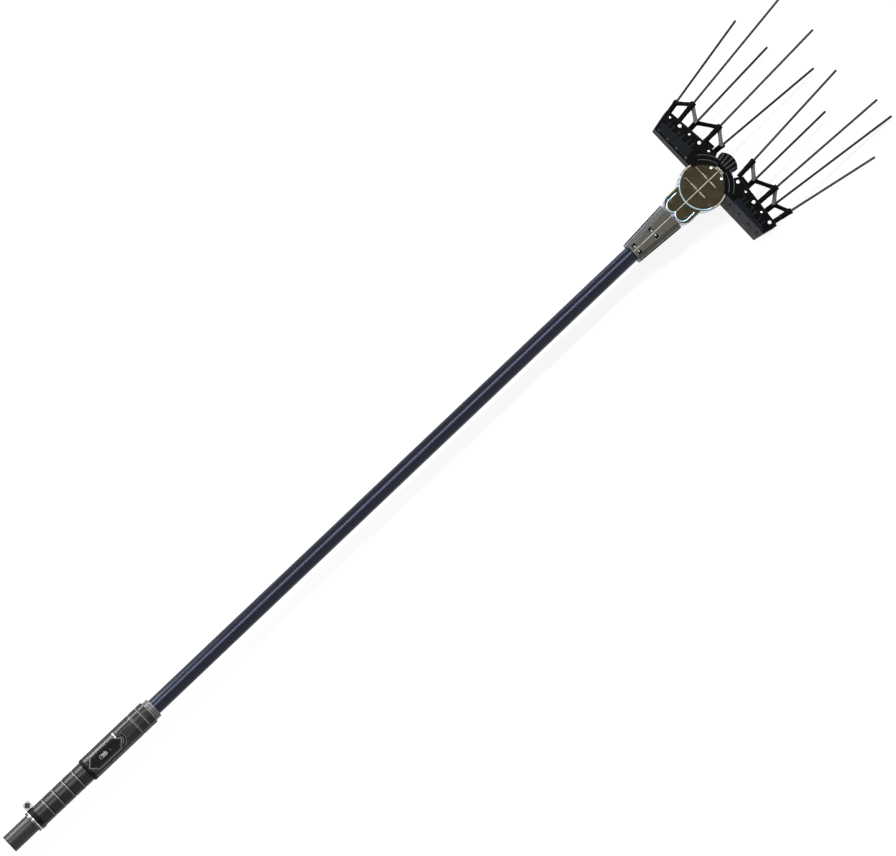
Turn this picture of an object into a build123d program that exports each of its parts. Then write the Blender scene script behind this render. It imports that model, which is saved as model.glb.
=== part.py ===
"""Electric olive harvester on a fixed pole, as an assembly of separate pieces.

Millimetres. +X runs along the pole from the tail to the comb tips, +Z points out of the round
gearbox cover and +Y is the left comb's side. The origin is the centre of the tail cap's end face.
"""
import math
import os

from build123d import *

# Clearances
SEAT_GAP = 0.05          # between a fixed piece and the bore it is seated in
RUNNING_GAP = 0.03       # radial, a shaft turning in its bearing
MOVING_GAP = 0.5         # between moving pieces and what they pass

# Pole and handle, in order from the tail
POLE_R = 17.0
POLE_WALL = 2.0
TAIL_LENGTH = 61.0
TAIL_WALL = 5.0
TAIL_SKIN = 2.0
INLET_R = 4.5
INLET_CAVITY_R = 6.0
INLET_DEPTH = 16.0
INLET_FLOOR = 4.0
LEAD_R = 3.5
CLAMP_WIDTH = 10.0
CLAMP_SET_IN = 7.5
CLAMP_THICKNESS = 1.5
CLAMP_GAP = 6.0
CLAMP_EAR = 4.0
CLAMP_EAR_LENGTH = 16.0
CLAMP_REACH = 15.0
CLAMP_SCREW_R = 2.5
CLAMP_HEAD_R = 4.5
CLAMP_HEAD_HEIGHT = 4.0
GRIP_LENGTH = 143.6
GRIP_THICKNESS = 5.0
GRIP_GROOVES = 4
GRIP_FIRST_GROOVE = 43.6
GRIP_GROOVE_PITCH = 26.3
GRIP_GROOVE_WIDTH = 2.0
GRIP_GROOVE_DEPTH = 1.0
HOUSING_LENGTH = 166.0
HOUSING_BESIDE = 8.0
HOUSING_ABOVE = 13.0
HOUSING_BELOW = 9.0
HOUSING_CORNER = 20.0
HOUSING_EDGE = 4.0
HOUSING_RING_FROM_FRONT = (15.0, 35.4)
HOUSING_RING_WIDTH = 1.6
HOUSING_RING_DEPTH = 0.8
FERRULE_LENGTH = 14.0
FERRULE_THICKNESS = 4.0
FERRULE_RIBS = 3
FERRULE_RIB_HEIGHT = 1.2
FERRULE_RIB_WIDTH = 2.4
POLE_VISIBLE = 1303.0

# Switch
RECESS_FROM_REAR = 8.0
RECESS_LENGTH = 84.0
RECESS_WIDTH = 28.0
RECESS_DEPTH = 2.5
BEZEL_MARGIN = 4.0
BEZEL_THICKNESS = 2.5
BAY_LENGTH = 62.0
BAY_WIDTH = 16.0
THUMB_LENGTH = 21.0
THUMB_WIDTH = 9.0
THUMB_RISE = 3.0
THUMB_TRAVEL = 8.0
THUMB_SET_BACK = 5.5
THUMB_STEM_LENGTH = 8.0
BOARD_THICKNESS = 1.6
BOARD_LENGTH = 56.0
BOARD_WIDTH = 13.0
SWITCH_LENGTH = 20.0
SWITCH_WIDTH = 8.0
LENS_R = 1.6
LENS_PITCH = 3.7
LENS_DEPTH = 2.5
LENS_FROM_RECESS = 4.0
LENS_RISE = 0.6
LENS_COUNT = 3
HOUSING_SCREW_R = 1.5
HOUSING_SCREW_HEAD_R = 2.8
HOUSING_SCREW_HEAD_HEIGHT = 2.0
HOUSING_SCREW_FROM_END = 14.0
HOUSING_SCREW_DEPTH = 12.0

# Neck, with distances measured back from the axis of the round gearbox
NECK_REAR = 194.0
NECK_FRONT = 88.0
NECK_REAR_WALL = 6.5
NECK_FRONT_HALF_WIDTH = 30.0
NECK_FRONT_HALF_HEIGHT = 28.0
NECK_CHAMFER = 13.0
NECK_BOLT_BACK = (184.4, 138.5)
NECK_BOLT_R = 1.75
NECK_BOLT_HEAD_R = 3.0
NECK_BOLT_HEAD_LENGTH = 3.5
NECK_NUT_LENGTH = 3.0
NECK_BOLT_TAIL = 1.5
NECK_WEB = 4.0
NECK_POCKET = 9.0

# Motor, planetary stage and crank, measured back from the same axis
MOTOR_REAR = 166.0
MOTOR_FRONT = 110.0
MOTOR_R = 20.0
MOTOR_WALL = 1.5
MOTOR_FACE = 2.5
MOTOR_CAP = 5.0
MAGNET_THICKNESS = 3.0
ROTOR_GAP = 0.6
ROTOR_LENGTH = 30.0
COMMUTATOR_R = 7.0
COMMUTATOR_LENGTH = 5.0
SHAFT_R = 2.5
GEAR_MODULE = 0.75
SUN_TEETH = 12
PLANET_TEETH = 18
RING_TEETH = 48
PLANETS = 3
PRESSURE_ANGLE = math.radians(25)
ADDENDUM = 0.8
DEDENDUM = 1.05
BACKLASH = 0.10
FLANK_POINTS = 4
RING_GEAR_R = 21.0
RING_GEAR_REAR = 108.0
RING_GEAR_LENGTH = 13.0
PLANET_LENGTH = 9.0
PLANET_PIN_R = 2.5
CARRIER_R = 15.0
CARRIER_THICKNESS = 4.5
CRANK_R = 8.0
CRANK_WEB_R = 4.0
BEARING_R = 14.0
BEARING_REAR = 74.0
BEARING_LENGTH = 10.0
ECCENTRIC_R = 6.5
ROLLER_R = 8.5
FORK_BACK = (56.5, 41.5)
FORK_LENGTH = 9.0
SWING = math.radians(4)

# Gearbox
DRUM_R = 50.0
DRUM_WALL = 6.0
DRUM_HALF_HEIGHT = 22.0
DRUM_PLATE = 3.5
COVER_R = 46.4
RIM_HEIGHT = 2.0
LOBE_BACK = 69.0
LOBE_R = 17.0
LOBE_OFFSET = 16.0
LOBE_TOP = 26.0
TRIM_WIDTH = 1.8
TRIM_DEPTH = 6.0
TRIM_RISE = 0.6
KNUCKLE_WALL = 4.5
SPIGOT_WALL = 3.0
SPIGOT_CORE_R = 18.0
PILLAR_R = 5.0
PILLAR_SET_IN = 4.0      # from the drum's inner wall to a pillar's axis
PILLAR_ANGLES = (22, 115, -115, -22)
COVER_SCREW_R = 2.0
COVER_SCREW_HEAD_R = 3.0
COVER_SCREW_HEAD_HEIGHT = 1.6
COVER_SCREW_DEPTH = 10.0
RIB_HEIGHT = 1.2
RIB_WIDTH = 2.4
RIB_REACH = 38.0
CROSS_RIB_AT = (-14.0, 16.0)
CROSS_RIB_HALF = 20.0
BOSS_R = 3.5
BOSS_OFFSET = 9.0
PIVOT_R = 8.0
PIVOT_SEAT = 2.0
HUB_BUSH_R = 10.0
HUB_EYE_R = 13.0
HUB_PLATE = 5.0
HUB_SPLIT = 0.3
ARM_ANGLE = 60.0
ARM_WIDTH = 20.0
ARM_SPAN = 58.0
ARM_TAIL_HALF = 12.0
TINE_THICKNESS = 4.5
TINE_OVERLAP = 9.0

# Nose between the combs
NOSE_BAND_R = 58.0
NOSE_BAND_HALF_ANGLE = 24.0
NOSE_R = 86.0
NOSE_TIP_R = 30.0
NOSE_HALF_ANGLE = 17.0
NOSE_HALF_HEIGHT = 16.0
NOSE_FINS = 5
NOSE_FIN_HEIGHT = 3.0
NOSE_FIN_WIDTH = 2.4
NOSE_FIN_INSET = 1.0

# Combs, in the left comb's frame; the right comb is the same turned half round about the pole
COMB_HALF_THICKNESS = 26.0
COMB_WALL = 3.5
COMB_EDGE = 3.0
COMB_BEVEL = 13.0
COMB_REAR = 8.0
COMB_OUTER_REAR_Y = 148.5
COMB_OUTER_FRONT = (52.7, 158.5)
COMB_INNER_FRONT = (62.6, 58.0)
COMB_INNER_ANGLE = 29.0
COMB_DRUM_GAP = 1.2
LIP_R = 43.0
HORN_R = (45.0, 63.0)      # inner and outer radius of the lip's horn over the nose
HORN_END_ANGLE = 12.0
HORN_OVERLAP = 2.0        # degrees that the horn runs into the comb
ARM_BAY_X = (23.0, 42.0)
ARM_BAY_END_Y = 125.0
ARM_BOSS_R = 5.0
ARM_BOSS_Y = (70.0, 110.0)
ARM_PIN_R = 3.0
RAIL_THICKNESS = 4.0
RAIL_HALF_HEIGHT = 13.0
RAIL_END_INSET = 4.0
ROOT_LENGTH = 26.0
ROOT_THICKNESS = 11.0
ROOT_HALF_HEIGHT = 9.0
TONGUE_DEPTH = 16.0
TONGUE_HALF_HEIGHT = 2.5
COMB_BOLT_BACK = 8.0
COMB_BOLT_FIRST_Y = 143.5
COMB_BOLT_PITCH = 25.4
COMB_BOLT_R = 2.0
COMB_BOLT_HEAD_R = 4.5
COMB_BOLT_HEAD_HEIGHT = 2.0
SHELL_SCREW_Y = (64.0, 90.0, 116.0, 140.0)
SHELL_SCREW_IN = 5.0
SHELL_SCREW_R = 1.5
SHELL_SCREW_HEAD_R = 2.5
SHELL_SCREW_HEAD_HEIGHT = 1.0
SOCKET_R = 5.0
SOCKET_DEPTH = 26.0
WEB_HEIGHT = 7.0
WEB_THICKNESS = 4.0
WEB_BACK = 5.0
ROD_R = 2.5
ROD_GAP = 0.05
ROW_HEIGHT = 24.0
ROW_PITCH = 14.0

# Socket mouth x, y, yaw in degrees and free rod length, from the outer rod to the inner one
LEFT_RODS = (
    (89.5, 158.5, 10.1, 225.0),
    (102.8, 132.5, 7.3, 267.0),
    (92.6, 101.5, 3.2, 229.0),
    (110.0, 63.0, 2.6, 263.0),
    (97.7, 32.5, -3.1, 267.0),
)
RIGHT_RODS = (
    (95.7, 156.5, 11.2, 196.0),
    (92.6, 125.5, 6.3, 328.0),
    (108.0, 102.5, 2.5, 262.0),
    (97.2, 62.5, -0.4, 219.0),
    (111.0, 32.5, -4.2, 241.0),
)

# Sizes that follow from the pole
TAIL_R = POLE_R + TAIL_SKIN
GRIP_R = POLE_R + GRIP_THICKNESS
HOUSING_WIDTH = 2 * (POLE_R + HOUSING_BESIDE)
HOUSING_TOP = POLE_R + HOUSING_ABOVE
HOUSING_BOTTOM = POLE_R + HOUSING_BELOW
FERRULE_R = POLE_R + FERRULE_THICKNESS
NECK_REAR_HALF = POLE_R + NECK_REAR_WALL

# Places along the pole
GRIP_START = TAIL_LENGTH
CLAMP_START = GRIP_START + CLAMP_SET_IN
HOUSING_START = GRIP_START + GRIP_LENGTH
FERRULE_START = HOUSING_START + HOUSING_LENGTH
POLE_SHOWS = FERRULE_START + FERRULE_LENGTH
HEAD_X = POLE_SHOWS + POLE_VISIBLE + NECK_REAR
POLE_END = HEAD_X - MOTOR_REAR
RECESS_MID = HOUSING_START + RECESS_FROM_REAR + RECESS_LENGTH / 2
THUMB_MID = RECESS_MID - THUMB_SET_BACK
BEZEL_TOP = HOUSING_TOP - RECESS_DEPTH + BEZEL_THICKNESS
BASE = (Align.CENTER, Align.CENTER, Align.MIN)
TO_HEAD = Pos(HEAD_X, 0, 0)
FLIP = Rot(180, 0, 0)


def cyl_x(x0, x1, radius, y=0.0, z=0.0):
    """Round bar along X."""
    return Pos(x0, y, z) * Rot(0, 90, 0) * Cylinder(radius, x1 - x0, align=BASE)


def cyl_y(y0, y1, radius, x=0.0, z=0.0):
    """Round bar along Y."""
    return Pos(x, y0, z) * Rot(-90, 0, 0) * Cylinder(radius, y1 - y0, align=BASE)


def cyl_z(z0, z1, radius, x=0.0, y=0.0):
    """Round bar along Z."""
    return Pos(x, y, z0) * Cylinder(radius, z1 - z0, align=BASE)


def block(x0, x1, y0, y1, z0, z1):
    """Box between two corners."""
    return Pos((x0 + x1) / 2, (y0 + y1) / 2, (z0 + z1) / 2) * Box(x1 - x0, y1 - y0, z1 - z0)


def plate(sketch, z0, z1):
    """A flat outline raised from z0 to z1."""
    return extrude(Pos(0, 0, z0) * sketch, amount=z1 - z0)


def section_at(x):
    """Plane square to the pole, with its own x along +Y and its own y along +Z."""
    return Plane(origin=(x, 0, 0), x_dir=(0, 1, 0), z_dir=(1, 0, 0))


def polar(radius, degrees):
    """Point at a radius and an angle from +X."""
    return (radius * math.cos(math.radians(degrees)), radius * math.sin(math.radians(degrees)))


def sector(radius, half_angle):
    """Pie slice about +X."""
    far = 2 * radius
    wedge = Polygon((0, 0), polar(far, -half_angle), polar(far, half_angle), align=None)
    return Circle(radius) & wedge


def hexagon_slot(length, width):
    """Long hexagon with pointed ends, as the switch recess has."""
    half, taper = length / 2, width / 2
    return Polygon(
        (-half, 0), (-half + taper, -taper), (half - taper, -taper),
        (half, 0), (half - taper, taper), (-half + taper, taper), align=None)


# Tail, clamp and grip


def tail_cap():
    body = cyl_x(0, TAIL_LENGTH, TAIL_R)
    body -= cyl_x(TAIL_WALL, TAIL_LENGTH, POLE_R + SEAT_GAP)
    return body - cyl_x(0, TAIL_WALL, INLET_R)


def inlet_socket():
    seat_r = POLE_R - POLE_WALL - SEAT_GAP
    body = cyl_x(TAIL_WALL, TAIL_WALL + INLET_DEPTH + INLET_FLOOR, seat_r)
    return body - cyl_x(TAIL_WALL, TAIL_WALL + INLET_DEPTH, INLET_CAVITY_R)


def power_lead():
    lie = -(POLE_R - POLE_WALL - LEAD_R - SEAT_GAP)
    return cyl_x(TAIL_WALL + INLET_DEPTH + INLET_FLOOR, POLE_END, LEAD_R, z=lie)


def clamp_ear(side):
    low = side * CLAMP_GAP / 2
    high = side * (CLAMP_GAP / 2 + CLAMP_EAR)
    return block(CLAMP_START, CLAMP_START + CLAMP_EAR_LENGTH, GRIP_R + SEAT_GAP,
                 GRIP_R + CLAMP_THICKNESS + CLAMP_REACH, min(low, high), max(low, high))


def clamp_screw_y():
    return GRIP_R + CLAMP_THICKNESS + CLAMP_REACH / 2


def clamp_band():
    ring = cyl_x(CLAMP_START, CLAMP_START + CLAMP_WIDTH, GRIP_R + CLAMP_THICKNESS)
    ring -= cyl_x(CLAMP_START, CLAMP_START + CLAMP_WIDTH, GRIP_R + SEAT_GAP)
    ring -= block(CLAMP_START, CLAMP_START + CLAMP_WIDTH, 0, GRIP_R + 2 * CLAMP_THICKNESS,
                  -CLAMP_GAP / 2, CLAMP_GAP / 2)
    band = ring + clamp_ear(1) + clamp_ear(-1)
    reach = CLAMP_GAP / 2 + CLAMP_EAR
    return band - cyl_z(-reach, reach, CLAMP_SCREW_R + SEAT_GAP,
                        CLAMP_START + CLAMP_EAR_LENGTH / 2, clamp_screw_y())


def clamp_fasteners():
    x = CLAMP_START + CLAMP_EAR_LENGTH / 2
    y = clamp_screw_y()
    face = CLAMP_GAP / 2 + CLAMP_EAR
    nut_bottom = -face - CLAMP_HEAD_HEIGHT
    screw = cyl_z(nut_bottom, face, CLAMP_SCREW_R, x, y)
    screw += cyl_z(face, face + CLAMP_HEAD_HEIGHT, CLAMP_HEAD_R, x, y)
    nut = block(x - CLAMP_HEAD_R, x + CLAMP_HEAD_R, y - CLAMP_HEAD_R, y + CLAMP_HEAD_R, nut_bottom, -face)
    nut -= cyl_z(nut_bottom, -face, CLAMP_SCREW_R + SEAT_GAP, x, y)
    return [screw, nut]


def grip_sleeve():
    body = cyl_x(GRIP_START, HOUSING_START, GRIP_R)
    for index in range(GRIP_GROOVES):
        x = GRIP_START + GRIP_FIRST_GROOVE + GRIP_GROOVE_PITCH * index
        groove = cyl_x(x, x + GRIP_GROOVE_WIDTH, GRIP_R)
        body -= groove - cyl_x(x, x + GRIP_GROOVE_WIDTH, GRIP_R - GRIP_GROOVE_DEPTH)
    return body - cyl_x(GRIP_START, HOUSING_START, POLE_R + SEAT_GAP)


# Switch housing


def housing_section():
    height = HOUSING_TOP + HOUSING_BOTTOM
    outline = RectangleRounded(HOUSING_WIDTH, height, HOUSING_CORNER)
    return Pos(0, (HOUSING_TOP - HOUSING_BOTTOM) / 2) * outline


def housing_body():
    section = section_at(HOUSING_START) * housing_section()
    body = extrude(section, amount=HOUSING_LENGTH)
    body = fillet(body.edges().group_by(Axis.X)[0], HOUSING_EDGE)
    for back in HOUSING_RING_FROM_FRONT:
        x = FERRULE_START - back
        ring = extrude(section_at(x) * housing_section(), amount=HOUSING_RING_WIDTH)
        body -= ring - extrude(section_at(x) * offset(housing_section(), -HOUSING_RING_DEPTH),
                               amount=HOUSING_RING_WIDTH)
    return body - cyl_x(HOUSING_START, FERRULE_START, POLE_R + SEAT_GAP)


def housing_screw_places():
    side = (POLE_R + HOUSING_WIDTH / 2) / 2
    ends = (HOUSING_START + HOUSING_SCREW_FROM_END, FERRULE_START - HOUSING_SCREW_FROM_END / 2)
    return [(x, y) for x in ends for y in (-side, side)]


def housing_screw(x, y, gap=0.0):
    """Screw from below, headed in the lower shell; a gap makes it the hole that takes it."""
    head_bottom = -HOUSING_SCREW_DEPTH - HOUSING_SCREW_HEAD_HEIGHT
    shank = cyl_z(-HOUSING_SCREW_DEPTH, HOUSING_SCREW_DEPTH + gap, HOUSING_SCREW_R + gap, x, y)
    head_low = head_bottom if gap == 0 else -HOUSING_BOTTOM
    return shank + cyl_z(head_low, -HOUSING_SCREW_DEPTH, HOUSING_SCREW_HEAD_R + gap, x, y)


def housing_screws():
    return [housing_screw(x, y) for x, y in housing_screw_places()]


def drilled_housing():
    body = housing_body()
    for x, y in housing_screw_places():
        body -= housing_screw(x, y, SEAT_GAP)
    return body


def housing_crown(y):
    """Height of the housing's rounded top at a distance from its middle."""
    past = max(y - (HOUSING_WIDTH / 2 - HOUSING_CORNER), 0)
    return HOUSING_TOP - HOUSING_CORNER + math.sqrt(HOUSING_CORNER ** 2 - past ** 2)


def lens_places():
    """x, y and top of each lens, in a row across the pole beside the recess's slanting front edge."""
    x = RECESS_MID + RECESS_LENGTH / 2 - RECESS_WIDTH / 4
    places = []
    for index in range(LENS_COUNT):
        y = RECESS_WIDTH / 4 + LENS_FROM_RECESS + LENS_PITCH * index
        places.append((x, y, housing_crown(y) + LENS_RISE))
    return places


def board_bottom():
    return POLE_R + SEAT_GAP


def housing_upper():
    above = block(HOUSING_START, FERRULE_START, -HOUSING_WIDTH, HOUSING_WIDTH, 0, HOUSING_TOP)
    half = drilled_housing() & above
    at_recess = Pos(RECESS_MID, 0)
    floor = HOUSING_TOP - RECESS_DEPTH
    half -= plate(at_recess * hexagon_slot(RECESS_LENGTH, RECESS_WIDTH), floor, HOUSING_TOP)
    bay_ends = RECESS_MID - BAY_LENGTH / 2, RECESS_MID + BAY_LENGTH / 2
    half -= block(*bay_ends, -BAY_WIDTH / 2, BAY_WIDTH / 2, 0, floor)
    for x, y, top in lens_places():
        half -= cyl_z(top - LENS_DEPTH, HOUSING_TOP, LENS_R + SEAT_GAP, x, y)
    return half


def housing_lower():
    return drilled_housing() & block(
        HOUSING_START, FERRULE_START, -HOUSING_WIDTH, HOUSING_WIDTH, -HOUSING_BOTTOM, 0)


def switch_bezel():
    floor = HOUSING_TOP - RECESS_DEPTH
    outline = hexagon_slot(RECESS_LENGTH - 2 * BEZEL_MARGIN, RECESS_WIDTH - 2 * BEZEL_MARGIN)
    slot_length = THUMB_LENGTH + THUMB_TRAVEL + 2 * MOVING_GAP
    slot_mid = THUMB_TRAVEL / 2 - THUMB_SET_BACK
    slot = Pos(slot_mid, 0) * Rectangle(slot_length, THUMB_WIDTH + 2 * MOVING_GAP)
    return plate(Pos(RECESS_MID, 0) * (outline - slot), floor, BEZEL_TOP)


def switch_top():
    return board_bottom() + BOARD_THICKNESS + SWITCH_WIDTH


def thumb_slider():
    """Thumb piece at its rear stop, with a stem that works the switch below it."""
    top = BEZEL_TOP + THUMB_RISE
    underside = HOUSING_TOP - RECESS_DEPTH + MOVING_GAP
    outline = SlotOverall(THUMB_LENGTH, THUMB_WIDTH)
    thumb = plate(Pos(THUMB_MID, 0) * outline, underside, top)
    thumb = chamfer(thumb.edges().group_by(Axis.Z)[-1], THUMB_RISE / 4)
    half = THUMB_STEM_LENGTH / 2
    stem_bottom = switch_top() + MOVING_GAP
    return thumb + block(THUMB_MID - half, THUMB_MID + half, -half / 2, half / 2, stem_bottom, underside)


def circuit_board():
    bottom = board_bottom()
    return block(RECESS_MID - BOARD_LENGTH / 2, RECESS_MID + BOARD_LENGTH / 2,
                 -BOARD_WIDTH / 2, BOARD_WIDTH / 2, bottom, bottom + BOARD_THICKNESS)


def slide_switch():
    bottom = board_bottom() + BOARD_THICKNESS
    return block(RECESS_MID - SWITCH_LENGTH / 2, RECESS_MID + SWITCH_LENGTH / 2,
                 -SWITCH_WIDTH / 2, SWITCH_WIDTH / 2, bottom, switch_top())


def indicator_lenses():
    return [cyl_z(top - LENS_DEPTH, top, LENS_R, x, y) for x, y, top in lens_places()]


def front_ferrule():
    body = cyl_x(FERRULE_START, POLE_SHOWS, FERRULE_R)
    pitch = FERRULE_LENGTH / FERRULE_RIBS
    for index in range(FERRULE_RIBS):
        x = FERRULE_START + pitch * (index + 0.5) - FERRULE_RIB_WIDTH / 2
        body += cyl_x(x, x + FERRULE_RIB_WIDTH, FERRULE_R + FERRULE_RIB_HEIGHT)
    return body - cyl_x(FERRULE_START, POLE_SHOWS, POLE_R + SEAT_GAP)


def pole_tube():
    return cyl_x(TAIL_WALL, POLE_END, POLE_R) - cyl_x(TAIL_WALL, POLE_END, POLE_R - POLE_WALL)


# Neck, in the head's frame: X is zero on the gearbox axis


def spigot_r():
    return RING_GEAR_R + SEAT_GAP + SPIGOT_WALL


def octagon(half_width, half_height):
    cut = NECK_CHAMFER
    return Polygon(
        (half_width, -half_height + cut), (half_width, half_height - cut),
        (half_width - cut, half_height), (-half_width + cut, half_height),
        (-half_width, half_height - cut), (-half_width, -half_height + cut),
        (-half_width + cut, -half_height), (half_width - cut, -half_height), align=None)


def neck_bolt_places():
    """x, z and side of each cross bolt: one above and one below at each station."""
    places = []
    for back in NECK_BOLT_BACK:
        bore = POLE_R if back > MOTOR_REAR else MOTOR_R
        for side in (1, -1):
            places.append((-back, side * (bore + NECK_BOLT_HEAD_R + SEAT_GAP), side))
    return places


def neck_pocket(x, z, side, sign):
    """Open pocket for a bolt head or a nut, from its floor out through the shell."""
    floor = z - side * NECK_BOLT_HEAD_R
    reach = side * 2 * NECK_FRONT_HALF_HEIGHT
    inner, outer = sign * NECK_WEB, sign * (NECK_WEB + NECK_POCKET)
    return block(x - NECK_POCKET / 2, x + NECK_POCKET / 2, min(inner, outer), max(inner, outer),
                 min(floor, reach), max(floor, reach))


def neck_body():
    rear = section_at(-NECK_REAR) * octagon(NECK_REAR_HALF, NECK_REAR_HALF)
    front = section_at(-NECK_FRONT) * octagon(NECK_FRONT_HALF_WIDTH, NECK_FRONT_HALF_HEIGHT)
    body = loft([rear, front], ruled=True)
    body -= cyl_x(-NECK_REAR, -MOTOR_REAR, POLE_R + SEAT_GAP)
    body -= cyl_x(-MOTOR_REAR, -MOTOR_FRONT, MOTOR_R + SEAT_GAP)
    body -= cyl_x(-MOTOR_FRONT, -NECK_FRONT, spigot_r() + SEAT_GAP)
    for x, z, side in neck_bolt_places():
        body -= cyl_y(-2 * NECK_WEB, 2 * NECK_WEB, NECK_BOLT_R + SEAT_GAP, x, z)
        body -= neck_pocket(x, z, side, 1)
        body -= neck_pocket(x, z, side, -1)
    return body


def neck_shell(sign):
    far = sign * 2 * NECK_FRONT_HALF_WIDTH
    reach = 2 * NECK_FRONT_HALF_HEIGHT
    return neck_body() & block(-NECK_REAR, -NECK_FRONT, min(0, far), max(0, far), -reach, reach)


def neck_fasteners():
    solids = []
    for x, z, _ in neck_bolt_places():
        nut_end = NECK_WEB + NECK_NUT_LENGTH
        bolt = cyl_y(-NECK_WEB, nut_end + NECK_BOLT_TAIL, NECK_BOLT_R, x, z)
        bolt += cyl_y(-NECK_WEB - NECK_BOLT_HEAD_LENGTH, -NECK_WEB, NECK_BOLT_HEAD_R, x, z)
        nut = cyl_y(NECK_WEB, nut_end, NECK_BOLT_HEAD_R, x, z)
        nut -= cyl_y(NECK_WEB, nut_end, NECK_BOLT_R + SEAT_GAP, x, z)
        solids += [bolt, nut]
    return solids


# Motor


def motor_can():
    rear, front = -MOTOR_REAR + MOTOR_CAP, -MOTOR_FRONT
    body = cyl_x(rear, front, MOTOR_R) - cyl_x(rear, front - MOTOR_FACE, MOTOR_R - MOTOR_WALL)
    return body - cyl_x(front - MOTOR_FACE, front, SHAFT_R + RUNNING_GAP)


def motor_end_cap():
    rear, front = -MOTOR_REAR, -MOTOR_REAR + MOTOR_CAP
    return cyl_x(rear, front, MOTOR_R) - cyl_x(rear + MOTOR_CAP / 2, front, SHAFT_R + RUNNING_GAP)


def magnet_inner_r():
    return MOTOR_R - MOTOR_WALL - SEAT_GAP - MAGNET_THICKNESS


def rotor_ends():
    front = -MOTOR_FRONT - MOTOR_FACE - 2 * MOTOR_CAP
    return front - ROTOR_LENGTH, front


def motor_magnets():
    rear, front = rotor_ends()
    inner = magnet_inner_r()
    ring = cyl_x(rear, front, inner + MAGNET_THICKNESS) - cyl_x(rear, front, inner)
    gap = MOTOR_R / 2
    return [ring & block(rear, front, gap, MOTOR_R, -MOTOR_R, MOTOR_R),
            ring & block(rear, front, -MOTOR_R, -gap, -MOTOR_R, MOTOR_R)]


def gear_outline(teeth, phase, extra=0.0, tip=ADDENDUM, root=DEDENDUM):
    """Involute gear outline; extra widens the teeth, as the space cut for a ring gear needs."""
    pitch_r = GEAR_MODULE * teeth / 2
    base_r = pitch_r * math.cos(PRESSURE_ANGLE)
    tip_r = pitch_r + tip * GEAR_MODULE
    root_r = pitch_r - root * GEAR_MODULE
    start_r = max(root_r, base_r)

    def involute(radius):
        slope = math.sqrt(max((radius / base_r) ** 2 - 1, 0))
        return slope - math.atan(slope)

    half = (math.pi * GEAR_MODULE / 2 + extra) / (2 * pitch_r) + involute(pitch_r)
    radii = [start_r + (tip_r - start_r) * step / FLANK_POINTS for step in range(FLANK_POINTS + 1)]
    flank = [(radius, half - involute(radius)) for radius in radii]
    if root_r < base_r:
        flank.insert(0, (root_r, half))
    points = []
    for tooth in range(teeth):
        middle = phase + 2 * math.pi * tooth / teeth
        around = [(radius, middle - turn) for radius, turn in flank]
        around += [(radius, middle + turn) for radius, turn in reversed(flank)]
        points += [(radius * math.cos(turn), radius * math.sin(turn)) for radius, turn in around]
    return Polygon(*points, align=None)


def planet_orbit():
    return GEAR_MODULE * (SUN_TEETH + PLANET_TEETH) / 2


def planet_angle(index):
    return 2 * math.pi * index / PLANETS


def planet_phase(index):
    """Turn that puts a planet's gap where the sun has a tooth."""
    angle = planet_angle(index)
    sun_share = angle * SUN_TEETH / (2 * math.pi)
    return angle + math.pi - (0.5 - sun_share) * 2 * math.pi / PLANET_TEETH


def ring_phase():
    """Turn that puts the ring gear's spaces where the first planet has teeth."""
    return planet_phase(0) * PLANET_TEETH / RING_TEETH


def along_pole(x, sketch, length):
    """A gear drawn flat, stood on the pole's axis at x."""
    return Pos(x, 0, 0) * Rot(0, 90, 0) * extrude(sketch, amount=length)


def planet_rear():
    return -RING_GEAR_REAR + (RING_GEAR_LENGTH - PLANET_LENGTH) / 2


def motor_rotor():
    rear, front = rotor_ends()
    pinion_end = planet_rear() + PLANET_LENGTH
    shaft = cyl_x(-MOTOR_REAR + MOTOR_CAP / 2 + MOVING_GAP, planet_rear(), SHAFT_R)
    armature = cyl_x(rear, front, magnet_inner_r() - ROTOR_GAP)
    commutator = cyl_x(rear - COMMUTATOR_LENGTH, rear, COMMUTATOR_R)
    pinion = along_pole(planet_rear(), gear_outline(SUN_TEETH, 0.0, -BACKLASH), pinion_end - planet_rear())
    return shaft + armature + commutator + pinion


def ring_gear():
    body = cyl_x(-RING_GEAR_REAR, -RING_GEAR_REAR + RING_GEAR_LENGTH, RING_GEAR_R)
    spaces = gear_outline(RING_TEETH, ring_phase(), BACKLASH, DEDENDUM, ADDENDUM)
    return body - along_pole(-RING_GEAR_REAR, spaces, RING_GEAR_LENGTH)


def planet_place(index):
    """Centre of a planet, in the flat frame that the gears are drawn in."""
    angle = planet_angle(index)
    return planet_orbit() * math.cos(angle), planet_orbit() * math.sin(angle)


def planet_gear(index):
    outline = gear_outline(PLANET_TEETH, planet_phase(index), -BACKLASH)
    outline -= Circle(PLANET_PIN_R + RUNNING_GAP)
    return along_pole(planet_rear(), Pos(*planet_place(index)) * outline, PLANET_LENGTH)


def eccentric_throw(index):
    """Throw that swings a fork by SWING at its distance from the pivot."""
    return FORK_BACK[index] * math.sin(SWING)


def eccentric_z(index):
    return eccentric_throw(index) * (1 if index == 0 else -1)


def fork_span(index):
    return -FORK_BACK[index] - FORK_LENGTH / 2, -FORK_BACK[index] + FORK_LENGTH / 2


def crank_shaft():
    carrier_rear = planet_rear() + PLANET_LENGTH + MOVING_GAP
    carrier_front = carrier_rear + CARRIER_THICKNESS
    body = cyl_x(carrier_rear, carrier_front, CARRIER_R)
    body += cyl_x(carrier_front, fork_span(0)[0], CRANK_R)
    for index in range(PLANETS):
        pin = Pos(*planet_place(index)) * Circle(PLANET_PIN_R)
        body += along_pole(planet_rear(), pin, carrier_rear - planet_rear())
    for index in range(len(FORK_BACK)):
        rear, front = fork_span(index)
        body += cyl_x(rear, front, ECCENTRIC_R, z=eccentric_z(index))
    return body + cyl_x(fork_span(0)[1], fork_span(1)[0], CRANK_WEB_R)


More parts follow.
